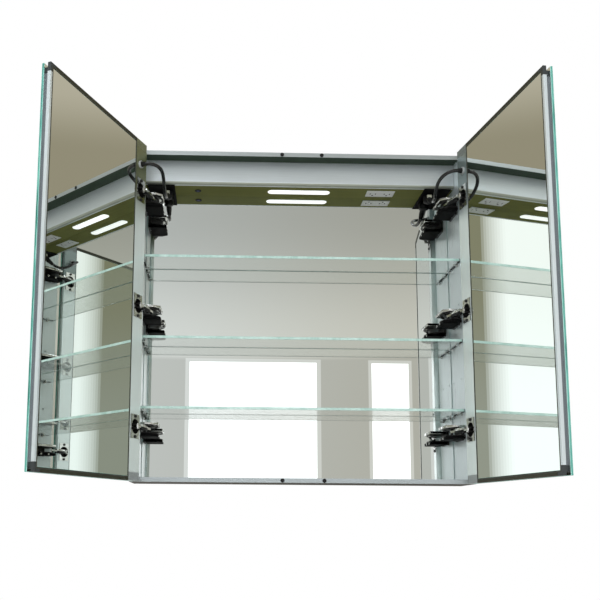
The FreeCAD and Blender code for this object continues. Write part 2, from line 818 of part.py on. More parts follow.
# Lever, drawn from its knuckle pin at the origin along +X to its roller
lever_low = "-lever_thickness/2"
high = ("lever_length", "lever_width/2", "lever_thickness/2")
lever_bar = box("lever_bar", ("0", "-lever_width/2", lever_low), high)
lever_ends = []
lever_holes = []
for x, diameter in (("0", "knuckle_pin"), ("lever_length", "roller_diameter")):
    lever_ends.append(rod("lever_end", "z", "lever_width", "lever_thickness", (x, "0", lever_low)))
    hole_base = (x, "0", lever_low + " - overrun")
    hole_length = "lever_thickness + 2 * overrun"
    lever_holes.append(rod("lever_hole", "z", diameter + " + 2 * fit_gap", hole_length, hole_base))
lever = cut("lever", fuse("lever_blank", [lever_bar] + lever_ends), lever_holes)
roller_half = "(arm_gap/2 + arm_sheet)"
roller_base = ("lever_length", "0", "-" + roller_half)
roller = rod("roller", "z", "roller_diameter", "2 * %s" % roller_half, roller_base)


def lever_stand(side, opened):
    # place and angle of a lever when its door stands at this angle
    reach = "(knuckle_inset - pole_inset)"
    rise = "(door_thickness - pole_depth + knuckle_reach)"
    x = "%s - %s * cos(%s) - %s * sin(%s)" % (pole_x, reach, opened, rise, opened)
    y = "%s - %s * sin(%s) + %s * cos(%s)" % (pole_y, reach, opened, rise, opened)
    angle = "lever_shut_angle + (lever_open_angle - lever_shut_angle) * %s / full_open_angle" % opened
    if side == "left":
        return ("-(%s)" % x, y, angle)
    return (x, y, "-(%s)" % angle)


lever_places = (lever_stand("left", "left_open_angle"), lever_stand("right", "right_open_angle"))
hung_pair("hinge_levers", three("levers", lever), *lever_places)
hung_pair("hinge_rollers", three("rollers", roller), *lever_places)


# Arm: a web on the mounting plate with two cheeks, each slotted along the path of the roller
def roller_place(opened):
    swing = math.radians(opened)
    reach = size("knuckle_inset") - size("pole_inset")
    rise = size("door_thickness") - size("pole_depth") + size("knuckle_reach")
    pole = Vector(size("pole_inset") - size("body_width") / 2, 0, 0)
    pole.y = size("pole_depth") - size("body_depth") - size("door_standoff") - size("door_thickness")
    across_wall = reach * math.cos(swing) + rise * math.sin(swing)
    to_wall = rise * math.cos(swing) - reach * math.sin(swing)
    knuckle = pole + Vector(across_wall, to_wall, 0)
    turn = size("lever_open_angle") - size("lever_shut_angle")
    lean = math.radians(size("lever_shut_angle") + turn * opened / size("full_open_angle"))
    return knuckle + Vector(math.cos(lean), math.sin(lean), 0) * size("lever_length")


def slotted_cheeks():
    shut, midway, opened = [roller_place(size("full_open_angle") * share) for share in (0, 0.5, 1)]
    path = Part.Arc(shut, midway, opened).toShape().Curve
    room = size("roller_diameter") / 2 + size("slot_gap")
    sheet_metal = size("arm_sheet")
    tall = size("arm_gap") + 2 * sheet_metal
    floor = Vector(0, 0, -tall / 2)

    def disc(radius, centre):
        return Part.makeCylinder(radius, tall, centre + floor)

    def aim(point, radius):
        return path.Center + (point - path.Center).normalize() * radius

    rings = []
    for radius in (path.Radius - room, path.Radius + room):
        rings.append([aim(point, radius) for point in (shut, midway, opened)])
    (a, b, c), (d, e, f) = rings
    edges = [Part.Arc(a, b, c), Part.LineSegment(c, f), Part.Arc(f, e, d), Part.LineSegment(d, a)]
    face = Part.Face(Part.Wire([edge.toShape() for edge in edges]))
    slot = face.extrude(Vector(0, 0, tall))
    slot.translate(floor)
    slot = slot.fuse([disc(room, shut), disc(room, opened)])
    outer = path.Radius + room + size("slot_rim")
    wall = size("side_wall") + size("plate_thickness") - size("body_width") / 2
    front = size("arm_front_gap") - size("body_depth")
    keep = Part.makeBox(2 * outer, size("body_depth"), tall, Vector(wall, front, -tall / 2))
    blank = disc(outer, path.Center).common(keep)
    web_end = size("plate_setback") - size("body_depth") - size("plate_length") / 2
    hollow_low = Vector(wall + sheet_metal, front - outer, -size("arm_gap") / 2)
    hollow = Part.makeBox(2 * outer, size("body_depth") + 2 * outer, size("arm_gap"), hollow_low)
    nose_low = Vector(wall - outer, front - outer, -size("arm_gap") / 2)
    nose = Part.makeBox(2 * outer, web_end - nose_low.y, size("arm_gap"), nose_low)
    return blank.cut([slot, hollow, nose])


arm = doc.addObject("Part::Feature", "arm")
arm.Shape = slotted_cheeks()
pair("hinge_arms", three("arms", arm))

plate_x = "-%s + plate_thickness" % inner
plate_y = "plate_setback - body_depth"
plate_low = ("-" + inner, plate_y + " - plate_length/2", "-plate_height/2")
plate_blank = box("plate_blank", plate_low, (plate_x, plate_y + " + plate_length/2", "plate_height/2"))
plate_holes = []
for sign in "+-":
    place = ("-%s - overrun" % inner, plate_y, sign + "plate_screw_offset")
    hole_length = "plate_thickness + 2 * overrun"
    plate_holes.append(rod("plate_screw_hole", "x", screw_hole, hole_length, place))
pair("hinge_plates", three("plates", cut("plate", plate_blank, plate_holes)))
plate_screw_places = []
for height in hinge_heights:
    for sign in "+-":
        plate_screw_places.append((plate_x, plate_y, "%s %s plate_screw_offset" % (height, sign)))
pair("hinge_plate_screws", screws_along("plate_screws", "x", 1, plate_screw_places))


# Glands under the light box, each aimed forward and down at its lead
def gland():
    x = "gland_inset - %s" % inner
    y = gland_line
    foot_low = "%s - gland_foot_height" % box_low
    foot = rod("gland_foot_disc", "z", "gland_foot", "gland_foot_height", (x, y, foot_low))
    neck = rod("gland_neck_tube", "z", "gland_neck", "box_sheet + gland_neck_height", (x, y, box_low))
    start = (x, y, "%s - gland_drop" % box_low)
    nozzle = rod("gland_nozzle", "z", "gland_diameter", "gland_reach", start)
    nozzle.Placement.Rotation = FreeCAD.Rotation(Vector(1, 0, 0), 1)
    nozzle.setExpression("Placement.Rotation.Angle", rule("90 + gland_tilt_angle"))
    return fuse("gland", [foot, neck, nozzle])


left_gland = gland()
node("cable_glands", group("glands", [left_gland, mirror("right_gland", left_gland, Vector(1, 0, 0))]))


# Leads: a round section swept along straight runs joined by tangent arcs
def lead(label, route):
    points = [Vector(*point) for point in route]
    bend_share = 0.45
    edges = []
    radii = []
    start = points[0]
    for before, corner, after in zip(points, points[1:], points[2:]):
        back = (before - corner).normalize()
        ahead = (after - corner).normalize()
        turn = math.pi - back.getAngle(ahead)
        trim = bend_share * min(before.distanceToPoint(corner), corner.distanceToPoint(after))
        radius = trim / math.tan(turn / 2)
        bisector = (back + ahead).normalize()
        middle = corner + bisector * (radius / math.cos(turn / 2) - radius)
        entry = corner + back * trim
        leave = corner + ahead * trim
        edges.append(Part.LineSegment(start, entry).toShape())
        edges.append(Part.Arc(entry, middle, leave).toShape())
        radii.append(round(radius, 1))
        start = leave
    edges.append(Part.LineSegment(start, points[-1]).toShape())
    path = Part.Wire(edges)
    radius = size("lead_diameter") / 2
    section = Part.Wire(Part.makeCircle(radius, points[0], points[1] - points[0]))
    obj = doc.addObject("Part::Feature", label + "_tube")
    obj.Shape = path.makePipeShell([section], True, False)
    share = obj.Shape.Volume / (math.pi * radius**2 * path.Length)
    print("%s: length %.1f, radii %s, volume share %.4f" % (label, path.Length, radii, share))
    node(label, obj)


lead("left_lead", left_lead_route)
lead("right_lead", right_lead_route)

doc.recompute()
for obj in doc.Objects:
    if "Invalid" in obj.State or "Error" in obj.State:
        raise RuntimeError("%s failed: %s" % (obj.Name, obj.State))
for obj in nodes:
    if obj.Shape.isNull() or not obj.Shape.isValid() or not obj.Shape.Solids:
        raise RuntimeError("%s has no valid solid" % obj.Label)

os.makedirs("parts", exist_ok=True)
for obj in nodes:
    solids = obj.Shape.Solids
    shape = solids[0] if len(solids) == 1 else Part.makeCompound(solids)
    shape.exportStep("parts/%s.step" % obj.Label)
print("%d nodes, %d solids" % (len(nodes), sum(len(obj.Shape.Solids) for obj in nodes)))
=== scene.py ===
import json
import math

import bpy
from mathutils import Matrix, Vector

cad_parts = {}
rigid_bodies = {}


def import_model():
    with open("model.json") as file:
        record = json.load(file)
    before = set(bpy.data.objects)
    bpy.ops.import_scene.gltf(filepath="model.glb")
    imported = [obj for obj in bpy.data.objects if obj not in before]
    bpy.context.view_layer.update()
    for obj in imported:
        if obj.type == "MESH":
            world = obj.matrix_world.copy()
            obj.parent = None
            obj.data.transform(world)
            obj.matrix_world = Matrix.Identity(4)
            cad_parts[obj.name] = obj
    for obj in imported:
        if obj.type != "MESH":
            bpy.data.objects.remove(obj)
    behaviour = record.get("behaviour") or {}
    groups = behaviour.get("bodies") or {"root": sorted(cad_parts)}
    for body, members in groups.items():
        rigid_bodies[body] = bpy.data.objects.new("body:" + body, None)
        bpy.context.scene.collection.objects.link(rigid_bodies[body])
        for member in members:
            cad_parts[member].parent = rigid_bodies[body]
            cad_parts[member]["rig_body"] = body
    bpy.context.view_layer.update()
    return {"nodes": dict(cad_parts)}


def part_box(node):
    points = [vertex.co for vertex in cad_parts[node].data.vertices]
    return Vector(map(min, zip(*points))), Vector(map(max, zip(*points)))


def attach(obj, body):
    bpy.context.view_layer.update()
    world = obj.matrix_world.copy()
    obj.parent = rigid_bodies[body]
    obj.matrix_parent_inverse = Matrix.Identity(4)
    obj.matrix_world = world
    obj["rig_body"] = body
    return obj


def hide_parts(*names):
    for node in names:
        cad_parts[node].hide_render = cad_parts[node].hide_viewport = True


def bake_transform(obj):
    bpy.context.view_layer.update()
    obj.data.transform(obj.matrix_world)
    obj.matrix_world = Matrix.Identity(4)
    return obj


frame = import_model()
print("frame loaded:", len(frame["nodes"]), "nodes")

cameraLook = {
    "place": (-0.187541, -1.93765, -0.457056),
    "yaw": 1.492, "pitch": 8.336, "roll": 0.378,  # degrees
    "focal": 829.976,  # in pixels of the picture
    "picture": 600, "sensor": 36.0,
    "shift": (0.10, 0.16), "sees": 60,
}


def addCamera(look):
    yaw, pitch, roll = (math.radians(look[key]) for key in ("yaw", "pitch", "roll"))
    forward = math.cos(pitch)
    ahead = Vector((math.sin(yaw) * forward, math.cos(yaw) * forward, math.sin(pitch)))
    level = Vector((math.cos(yaw), -math.sin(yaw), 0))
    upright = level.cross(ahead)
    right = level * math.cos(roll) + upright * math.sin(roll)
    top = upright * math.cos(roll) - level * math.sin(roll)
    bpy.ops.object.camera_add(location=look["place"])
    camera = bpy.context.object
    turned = Matrix((right, top, -ahead)).transposed().to_4x4()
    camera.matrix_world = Matrix.Translation(look["place"]) @ turned
    camera.data.sensor_width = look["sensor"]
    camera.data.lens = look["focal"] / look["picture"] * look["sensor"]
    camera.data.shift_x, camera.data.shift_y = look["shift"]
    camera.data.clip_end = look["sees"]
    bpy.context.scene.camera = camera


class Wire:  # one socket, with the sums that are used on it
    def __init__(self, finish, socket):
        self.finish, self.socket = finish, socket

    def sum(self, kind, first, second):
        return self.finish.node("ShaderNodeMath", {"operation": kind}, {0: first, 1: second})

    def __add__(self, other):
        return self.sum("ADD", self, other)

    def __radd__(self, other):
        return self.sum("ADD", other, self)

    def __sub__(self, other):
        return self.sum("SUBTRACT", self, other)

    def __rsub__(self, other):
        return self.sum("SUBTRACT", other, self)

    def __mul__(self, other):
        return self.sum("MULTIPLY", self, other)

    def __rmul__(self, other):
        return self.sum("MULTIPLY", other, self)

    def __truediv__(self, other):
        return self.sum("DIVIDE", self, other)

    def __rtruediv__(self, other):
        return self.sum("DIVIDE", other, self)

    def __pow__(self, other):
        return self.sum("POWER", self, other)

    def __rpow__(self, other):
        return self.sum("POWER", other, self)

    def __lt__(self, other):
        return self.sum("LESS_THAN", self, other)

    def __gt__(self, other):  # also what a number < wire asks for
        return self.sum("GREATER_THAN", self, other)

    def upTo(self, other):  # the larger of two
        return self.sum("MAXIMUM", self, other)

    def step(self, low, high):  # 0 below low, 1 above high, smooth between
        return self.finish.node("ShaderNodeMapRange", {"interpolation_type": "SMOOTHSTEP"},
                                {0: self, 1: low, 2: high, 3: 0.0, 4: 1.0})


class Finish:  # a material, or the world, built node by node
    def __init__(self, name, tree=None):
        if tree is None:
            self.material = bpy.data.materials.new(name)
            self.material.use_nodes = True
            tree = self.material.node_tree
        self.tree = tree
        tree.nodes.clear()

    def node(self, kind, settings=None, sockets=None, out=0):
        made = self.tree.nodes.new(kind)
        for key, value in (settings or {}).items():
            setattr(made, key, value)
        for key, value in (sockets or {}).items():
            if isinstance(value, Wire):
                self.tree.links.new(value.socket, made.inputs[key])
            else:
                made.inputs[key].default_value = value
        return Wire(self, made.outputs[out]) if made.outputs else made

    def place(self, scale=(1, 1, 1), middle=(0, 0, 0)):
        spot = self.node("ShaderNodeTexCoord", out=3)  # Object coordinates
        centred = self.node("ShaderNodeVectorMath", {"operation": "SUBTRACT"}, {0: spot, 1: middle})
        return self.node("ShaderNodeMapping", None, {0: centred, 3: scale})

    def parts(self, vector):
        split = self.node("ShaderNodeSeparateXYZ", None, {0: vector})
        return [Wire(self, socket) for socket in split.socket.node.outputs]

    def noise(self, vector, scale, detail=2.0, rough=0.5):
        return self.node("ShaderNodeTexNoise", None,
                         {"Vector": vector, "Scale": scale, "Detail": detail, "Roughness": rough})

    def mix(self, amount, first, second, how="MIX"):
        first, second = (c if isinstance(c, Wire) else (*c, 1) for c in (first, second))
        return self.node("ShaderNodeMix", {"data_type": "RGBA", "blend_type": how},
                         {0: amount, 6: first, 7: second}, out=2)

    def bump(self, height, strength, depth):
        return self.node("ShaderNodeBump", None,
                         {"Strength": strength, "Distance": depth, "Height": height})

    def skin(self, **sockets):
        named = {key.replace("_", " "): value for key, value in sockets.items()}
        return self.node("ShaderNodeBsdfPrincipled", None, named)

    def shown(self, shader):
        self.node("ShaderNodeOutputMaterial", None, {0: shader})
        return self.material


def dimmed(tone, share):
    return [c * share for c in tone]


def shades(tone, spread):  # a darker and a lighter one
    return dimmed(tone, 1 - spread), [min(1, c) for c in dimmed(tone, 1 + spread)]


def wavering(middle, *waves):  # goes up and down round the middle by each wave's share
    total = middle - sum(share for wave, share in waves) / 2
    for wave, share in waves:
        total = wave * share + total
    return total


studioLook = {  # spans are heights or sides of a ray, from -1 to 1
    "white": (1.0, 1.0, 1.0),
    "frontLow": (0.58, 0.595, 0.58), "frontEdge": (0.186, 0.194),
    "frontNear": (0.76, 0.78, 0.765), "frontFar": (0.47, 0.485, 0.475), "frontSpan": (0.19, 0.36),
    "rightTint": (0.84, 0.80, 0.73), "rightSpan": (-0.12, 0.25),
    "sideLow": (0.37, 0.38, 0.32), "sideHigh": (0.28, 0.27, 0.18), "sideSpan": (0.10, 0.30),
    "sideFrom": (-0.42, -0.36), "sideFull": 0.42,
    "rearMid": (0.325, 0.295, 0.21), "rearHigh": (0.50, 0.46, 0.36), "rearSpan": (0.41, 0.475),
    "rearLeft": (0.86, 0.90, 0.88), "rearRight": (0.42, 0.46, 0.43), "rearMiddle": (-0.2, 0.2),
    "rearEdge": (0.07, 0.14), "rearFrom": (-0.05, 0.25),
}


def lightStudio(look):
    world = bpy.data.worlds.new("studio")
    bpy.context.scene.world = world
    world.use_nodes = True
    sky = Finish("studio", world.node_tree)
    across, away, up = sky.parts(sky.node("ShaderNodeTexCoord", out=0))
    above = sky.mix(up.step(*look["frontSpan"]), look["frontNear"], look["frontFar"])
    front = sky.mix(up.step(*look["frontEdge"]), look["frontLow"], above)
    front = sky.mix(across.step(*look["rightSpan"]), front, look["rightTint"], "MULTIPLY")
    side = sky.mix(up.step(*look["sideSpan"]), look["sideLow"], look["sideHigh"])
    beside = (1 - across.step(*look["sideFrom"])) * (up < look["sideFull"])
    front = sky.mix(beside, front, side)
    high = sky.mix(up.step(*look["rearSpan"]), look["rearMid"], look["rearHigh"])
    low = sky.mix(across.step(*look["rearMiddle"]), look["rearLeft"], look["rearRight"])
    rear = sky.mix(up.step(*look["rearEdge"]), low, high)
    around = sky.mix(away.step(*look["rearFrom"]), front, rear)
    graded = sky.node("ShaderNodeBackground", None, {0: around, 1: 1.0})
    plain = sky.node("ShaderNodeBackground", None, {0: (*look["white"], 1), 1: 1.0})
    seen = sky.node("ShaderNodeLightPath")  # its first output is for camera rays
    shown = sky.node("ShaderNodeMixShader", None, {0: seen, 1: graded, 2: plain})
    sky.node("ShaderNodeOutputWorld", None, {0: shown})


softboxes = {  # centre, size, power, looks at, seen in mirrors
    "leftPanel": ((0.028, -3.2, 0.105), (0.797, 0.809), 2.6, (0.028, 0, 0.105), True),
    "rightPanel": ((0.89, -3.2, 0.105), (0.233, 0.809), 0.77, (0.89, 0, 0.105), True),
    "frontFill": ((-0.2, -2.4, 0.35), (2.6, 1.6), 30.0, (0, 0, 0), False),
    "leftHalo": ((0.028, -3.2, 0.105), (0.85, 0.85), 0.45, (0.028, 0, 0.105), True),
    "rightHalo": ((0.89, -3.2, 0.105), (0.275, 0.85), 0.15, (0.89, 0, 0.105), True),
    "topKey": ((-0.9, -1.6, 1.8), (0.9, 0.5), 8.0, (0, -0.1, 0.1), True),
}
softboxTint = (0.97, 1.0, 1.05)


def addSoftboxes(boxes, tint):
    for name, (middle, size, power, aim, mirrored) in boxes.items():
        bpy.ops.object.light_add(type="AREA", location=middle)
        lamp = bpy.context.object
        lamp.name = name
        lamp.data.shape = "RECTANGLE"
        lamp.data.size, lamp.data.size_y = size
        lamp.data.energy = power
        lamp.data.color = tint
        lamp.visible_camera = False
        lamp.visible_glossy = lamp.visible_transmission = mirrored
        lamp.rotation_euler = (Vector(aim) - Vector(middle)).to_track_quat("-Z", "Y").to_euler()


sideScreen = {  # a tall softbox far to the left, fading towards one side
    "from": (0.2, -0.02), "way": (-0.6, -0.8), "far": 4.5, "middle": 1.0, "tall": 3.2,
    "edges": (-0.5, 0.03, 0.215),  # even between the first two, then fading to the third
    "glow": 0.95, "strips": 9, "falloff": 0.6, "tint": (0.95, 1.0, 1.07),
}


def screenBoxes(look):
    start, way = Vector(look["from"]), Vector(look["way"])
    across = Vector((-way.y, way.x))
    first, bend, last = look["edges"]
    strip = (last - bend) / look["strips"]
    bands = [(first, bend, 1.0)]
    for step in range(look["strips"]):
        left = 1 - (step + 0.5) / look["strips"]
        bands.append((bend + step * strip, bend + (step + 1) * strip, left ** look["falloff"]))
    boxes = {}
    for low, high, share in bands:
        aim = start + across * (low + high) / 2
        middle = aim + way * look["far"]
        size = (high - low, look["tall"])
        power = look["glow"] * share * math.pi * size[0] * size[1]
        name = "side" + str(len(boxes))
        boxes[name] = ((*middle, look["middle"]), size, power, (*aim, look["middle"]), True)
    return boxes


floorLook = {
    "height": -0.80, "size": 3.0, "middle": (0, -0.45),
    "tone": (0.86, 0.86, 0.85), "dim": 0.97, "clouds": 3.0, "rough": 0.7,
    "fadeFrom": 0.55, "fadeFull": 1.45,  # fades to the white background
    "rays": ("Is Camera Ray", "Is Glossy Ray", "Is Transmission Ray"),
}


def addFloor(look):
    bpy.ops.mesh.primitive_plane_add(size=look["size"], location=(*look["middle"], look["height"]))
    floor = bpy.context.object
    floor.name = "floor"
    paint = Finish("paleFloor")
    across, away, _ = paint.parts(paint.place())
    fromMiddle = (across ** 2 + away ** 2) ** 0.5
    clouds = paint.noise(paint.place(), look["clouds"])
    tone = paint.mix(clouds, look["tone"], dimmed(look["tone"], look["dim"]))
    solid = paint.skin(Base_Color=tone, Roughness=look["rough"])
    glow = paint.node("ShaderNodeEmission", None, {0: (1, 1, 1, 1), 1: 1.0})
    rays = paint.node("ShaderNodeLightPath").socket.node.outputs
    first, second, third = (Wire(paint, rays[kind]) for kind in look["rays"])
    seen = first.upTo(second).upTo(third)
    faded = fromMiddle.step(look["fadeFrom"], look["fadeFull"]) * seen
    shader = paint.node("ShaderNodeMixShader", None, {0: faded, 1: solid, 2: glow})
    floor.data.materials.append(paint.shown(shader))


bpy.context.scene.view_settings.view_transform = "Standard"
addCamera(cameraLook)
lightStudio(studioLook)
addSoftboxes(softboxes, softboxTint)
addSoftboxes(screenBoxes(sideScreen), sideScreen["tint"])
addFloor(floorLook)
print("camera, floor and light are set")

finishes = {}
brushing = {
    "fine": 900, "long": 14, "clouds": 7.0,  # waves per metre, across and along the brushing
    "streakShare": 0.65, "span": (0.3, 0.7),
    "streakRough": 0.12, "cloudRough": 0.06, "depth": 0.00002,
}
stileLook = dict(tone=(0.88, 0.98, 1.0), along="z", rough=0.24, metal=0.48)
# settings for the painted shade and reflection under the decks
underLook = dict(along="x", rough=0.55, grain=0.2, metal=0.0, gloss=0.12)
metals = {
    # uprightAluminium, the stiles, crossAluminium, headAluminium, footAluminium and latchAluminium are one
    # satin aluminium, lighter or darker piece by piece as painted light and shade
    "uprightAluminium": dict(tone=(0.83, 0.92, 0.96), along="z", rough=0.30, metal=0.50),
    # the darker tones at the top of the stiles are painted reflection of the light box underside
    "leftStile": dict(stileLook, paintedTopShade=(0.19, 0.21, 0.11)),
    "rightStile": dict(stileLook, paintedTopShade=(0.27, 0.33, 0.33)),
    "crossAluminium": dict(tone=(0.65, 0.70, 0.72), along="x", rough=0.32, metal=0.65),
    "headAluminium": dict(tone=(0.48, 0.52, 0.525), along="x", rough=0.32, metal=0.65),
    "footAluminium": dict(tone=(0.42, 0.46, 0.475), along="x", rough=0.32, metal=0.35),
    "latchAluminium": dict(tone=(0.74, 0.81, 0.84), along="z", rough=0.34, grain=0.03, metal=0.4, relief=0),
    # painted shade for the floor of the latch stile groove
    "latchShade": dict(tone=(0.20, 0.22, 0.24), along="z", rough=0.4, grain=0.03, metal=0.2,
                       gloss=0.2, relief=0),
    # painted shade on the bend of the light box cover
    "paintedBendShade": dict(tone=(0.37, 0.39, 0.33), along="x", rough=0.36, metal=0.65),
    # painted shade and reflection of the floor on the deck undersides, which face down
    "shadeAluminium": dict(underLook, tone=(0.034, 0.056, 0.037)),
    "paintedUmberShade": dict(underLook, tone=(0.040, 0.026, 0.010)),
    # painted shade and reflection: the door rails in a dark olive tone
    "paintedRailShade": dict(tone=(0.045, 0.045, 0.028), along="z", rough=0.5, grain=0.2, metal=0.2,
                           gloss=0.2),
    # painted shade and reflection: the light box underside, which faces down, in a dark olive tone
    "paintedBoxUnderShade": dict(tone=(0.165, 0.172, 0.056), along="x", rough=0.45, grain=0.14, metal=0.1,
                            gloss=0.01),
}
paintedTopShadeSpan = (0.205, 0.275)  # painted reflection of the dark light box underside: the stiles are deeper in tone above these heights, beside the light box


def brushedMetal(name, tone, along, rough, grain=0.05, metal=1.0, gloss=0.5, paintedTopShade=None, relief=0.1):
    paint = Finish(name)
    stretch = [brushing["fine"]] * 3
    stretch["xyz".index(along)] = brushing["long"]
    streak = paint.noise(paint.place(stretch), 1.0, detail=3.0, rough=0.6)
    cloud = paint.noise(paint.place(), brushing["clouds"], detail=3.0)
    shade = streak * brushing["streakShare"] + cloud * (1 - brushing["streakShare"])
    colour = paint.mix(shade.step(*brushing["span"]), *shades(tone, grain))
    # painted reflection: darker towards the top of the stile
    if paintedTopShade:
        up = paint.parts(paint.place())[2]
        colour = paint.mix(up.step(*paintedTopShadeSpan), colour, paintedTopShade)
    roughness = wavering(rough, (streak, brushing["streakRough"]), (cloud, brushing["cloudRough"]))
    sockets = {"Normal": paint.bump(streak, relief, brushing["depth"])} if relief else {}
    return paint.shown(paint.skin(Base_Color=colour, Metallic=metal, Roughness=roughness,
                                  Specular_IOR_Level=gloss, **sockets))


for name, look in metals.items():
    finishes[name] = brushedMetal(name, **look)

mirrorLook = {
    "tone": (0.87, 0.895, 0.875), "dim": 0.985,
    "stretch": (1, 1, 0.6), "smears": 9.0, "smearSpan": (0.45, 0.85), "smearRough": 0.012,
    "dust": 160.0, "dustSpan": (0.62, 0.8), "dustRough": 0.01,
}


def silvered(name, look):
    paint = Finish(name)
    smear = paint.noise(paint.place(look["stretch"]), look["smears"], detail=4.0, rough=0.6)
    dust = paint.noise(paint.place(), look["dust"])
    colour = paint.mix(smear, dimmed(look["tone"], look["dim"]), look["tone"])
    smeared = smear.step(*look["smearSpan"]) * look["smearRough"]
    roughness = smeared + dust.step(*look["dustSpan"]) * look["dustRough"]
    return paint.shown(paint.skin(Base_Color=colour, Metallic=1.0, Roughness=roughness))


finishes["mirrorFace"] = silvered("mirrorFace", mirrorLook)

edgeLook = {
    "wave": (60, 60, 9), "fine": (700, 700, 40), "waveShare": 0.6,
    "rough": 0.08, "fineRough": 0.2, "coat": 0.8, "coatRough": 0.05, "relief": 0.15, "depth": 0.00005,
}
glassEdges = {  # dark tone, light tone, span between them
    "mirrorEdge": ((0.015, 0.17, 0.135), (0.15, 0.48, 0.41), (0.36, 0.64)),
    # painted highlight on the arris of the door panes
    "mirrorArrisHighlight": ((0.16, 0.55, 0.46), (0.50, 0.86, 0.77), (0.36, 0.64)),
    "shelfEdge": ((0.27, 0.47, 0.41), (0.64, 0.82, 0.76), (0.1, 0.9)),
    # painted shade on the ends of the shelves
    "shelfEndShade": ((0.006, 0.020, 0.018), (0.16, 0.34, 0.30), (0.36, 0.64)),
}


def glassEdge(name, dark, light, span):
    paint = Finish(name)
    wave = paint.noise(paint.place(edgeLook["wave"]), 1.0)
    fine = paint.noise(paint.place(edgeLook["fine"]), 1.0)
    shade = wave * edgeLook["waveShare"] + fine * (1 - edgeLook["waveShare"])
    return paint.shown(paint.skin(
        Base_Color=paint.mix(shade.step(*span), dark, light),
        Roughness=fine * edgeLook["fineRough"] + edgeLook["rough"],
        Coat_Weight=edgeLook["coat"], Coat_Roughness=edgeLook["coatRough"],
        Normal=paint.bump(fine, edgeLook["relief"], edgeLook["depth"])))


for name, look in glassEdges.items():
    finishes[name] = glassEdge(name, *look)

shelfLook = {
    "tone": (0.965, 0.99, 0.98), "dim": 0.99, "index": 1.5,
    "stretch": (1, 3, 1), "smears": 14.0, "smearSpan": (0.5, 0.9), "smearRough": 0.03,
}


def clearGlass(name, look):
    paint = Finish(name)
    smear = paint.noise(paint.place(look["stretch"]), look["smears"], detail=4.0, rough=0.6)
    colour = paint.mix(smear, dimmed(look["tone"], look["dim"]), look["tone"])
    roughness = smear.step(*look["smearSpan"]) * look["smearRough"]
    return paint.shown(paint.skin(Base_Color=colour, Roughness=roughness, IOR=look["index"],
                                  Transmission_Weight=1.0))


finishes["shelfGlass"] = clearGlass("shelfGlass", shelfLook)

moulding = {
    "clouds": 22.0, "cloudShare": 0.6, "pebbleRough": 0.14, "cloudRough": 0.1,
    "coatRough": 0.12, "relief": 0.3,
}
plastics = {
    "boardPlastic": dict(tone=(0.58, 0.59, 0.60), rough=0.55),
    "capPlastic": dict(tone=(0.038, 0.044, 0.046), rough=0.5),
    "capGrey": dict(tone=(0.30, 0.33, 0.335), rough=0.34, depth=0.00004, coat=0.2),
    # painted reflection: the tops of the hinge-side caps, toned per side like the tops of the stiles
    "leftTopCapShade": dict(tone=(0.145, 0.155, 0.085), rough=0.4, depth=0.00004, coat=0.1),
    "rightTopCapShade": dict(tone=(0.17, 0.20, 0.20), rough=0.4, depth=0.00004, coat=0.1),
    # painted shade and reflection: the mirror gaskets in a dark olive tone
    "paintedGasketShade": dict(tone=(0.040, 0.040, 0.028), rough=0.55),
    "greyPlastic": dict(tone=(0.38, 0.40, 0.40), rough=0.42),
    "blackPlasticAndSlotShade": dict(tone=(0.007, 0.007, 0.0075), rough=0.46, gloss=0.25),
    "guardBlack": dict(tone=(0.004, 0.009, 0.009), rough=0.4, gloss=0.1),
    "coverBlack": dict(tone=(0.005, 0.005, 0.0052), rough=0.5, gloss=0.02),
    "blackRubber": dict(tone=(0.008, 0.008, 0.008), rough=0.6, gloss=0.3),
    "leadJacket": dict(tone=(0.004, 0.004, 0.0045), rough=0.30, grain=700.0, depth=0.00002, coat=1.0,
                       gloss=0.1),
    "whitePlastic": dict(tone=(0.66, 0.67, 0.67), rough=0.34, grain=600.0, depth=0.00002, coat=0.3,
                         spread=0.04),
    "beigePlastic": dict(tone=(0.66, 0.66, 0.52), rough=0.45),
    "padFilm": dict(tone=(0.30, 0.15, 0.04), rough=0.4, grain=300.0, depth=0.00003, coat=0.4),
    "boxSteel": dict(tone=(0.40, 0.41, 0.42), rough=0.5, grain=1200.0, depth=0.00004),
    "boardMetal": dict(tone=(0.74, 0.75, 0.75), rough=0.4, grain=800.0, depth=0.00002),
}


def mouldedPlastic(name, tone, rough, grain=900.0, depth=0.00006, coat=0.0, spread=0.1, gloss=0.5):
    paint = Finish(name)
    pebble = paint.noise(paint.place(), grain, detail=3.0, rough=0.6)
    cloud = paint.noise(paint.place(), moulding["clouds"], detail=3.0)
    shade = cloud * moulding["cloudShare"] + pebble * (1 - moulding["cloudShare"])
    return paint.shown(paint.skin(
        Base_Color=paint.mix(shade, *shades(tone, spread)),
        Roughness=wavering(rough, (pebble, moulding["pebbleRough"]), (cloud, moulding["cloudRough"])),
        Coat_Weight=coat, Coat_Roughness=moulding["coatRough"], Specular_IOR_Level=gloss,
        Normal=paint.bump(pebble, moulding["relief"], depth)))


for name, look in plastics.items():
    finishes[name] = mouldedPlastic(name, **look)

plating = {
    "blotches": 90.0, "span": (0.35, 0.7), "blotchRough": 0.18,
    "scratches": (1600, 260, 260), "scratchRough": 0.08, "relief": 0.12, "depth": 0.00005,
}
platings = {
    "hingeNickel": dict(tone=(0.82, 0.83, 0.82), worn=(0.62, 0.62, 0.59), rough=0.15),
    "hingeDark": dict(tone=(0.008, 0.008, 0.008), worn=(0.020, 0.019, 0.018), rough=0.36, metal=0.2),
    "screwSteel": dict(tone=(0.56, 0.56, 0.55), worn=(0.40, 0.40, 0.39), rough=0.28),
}


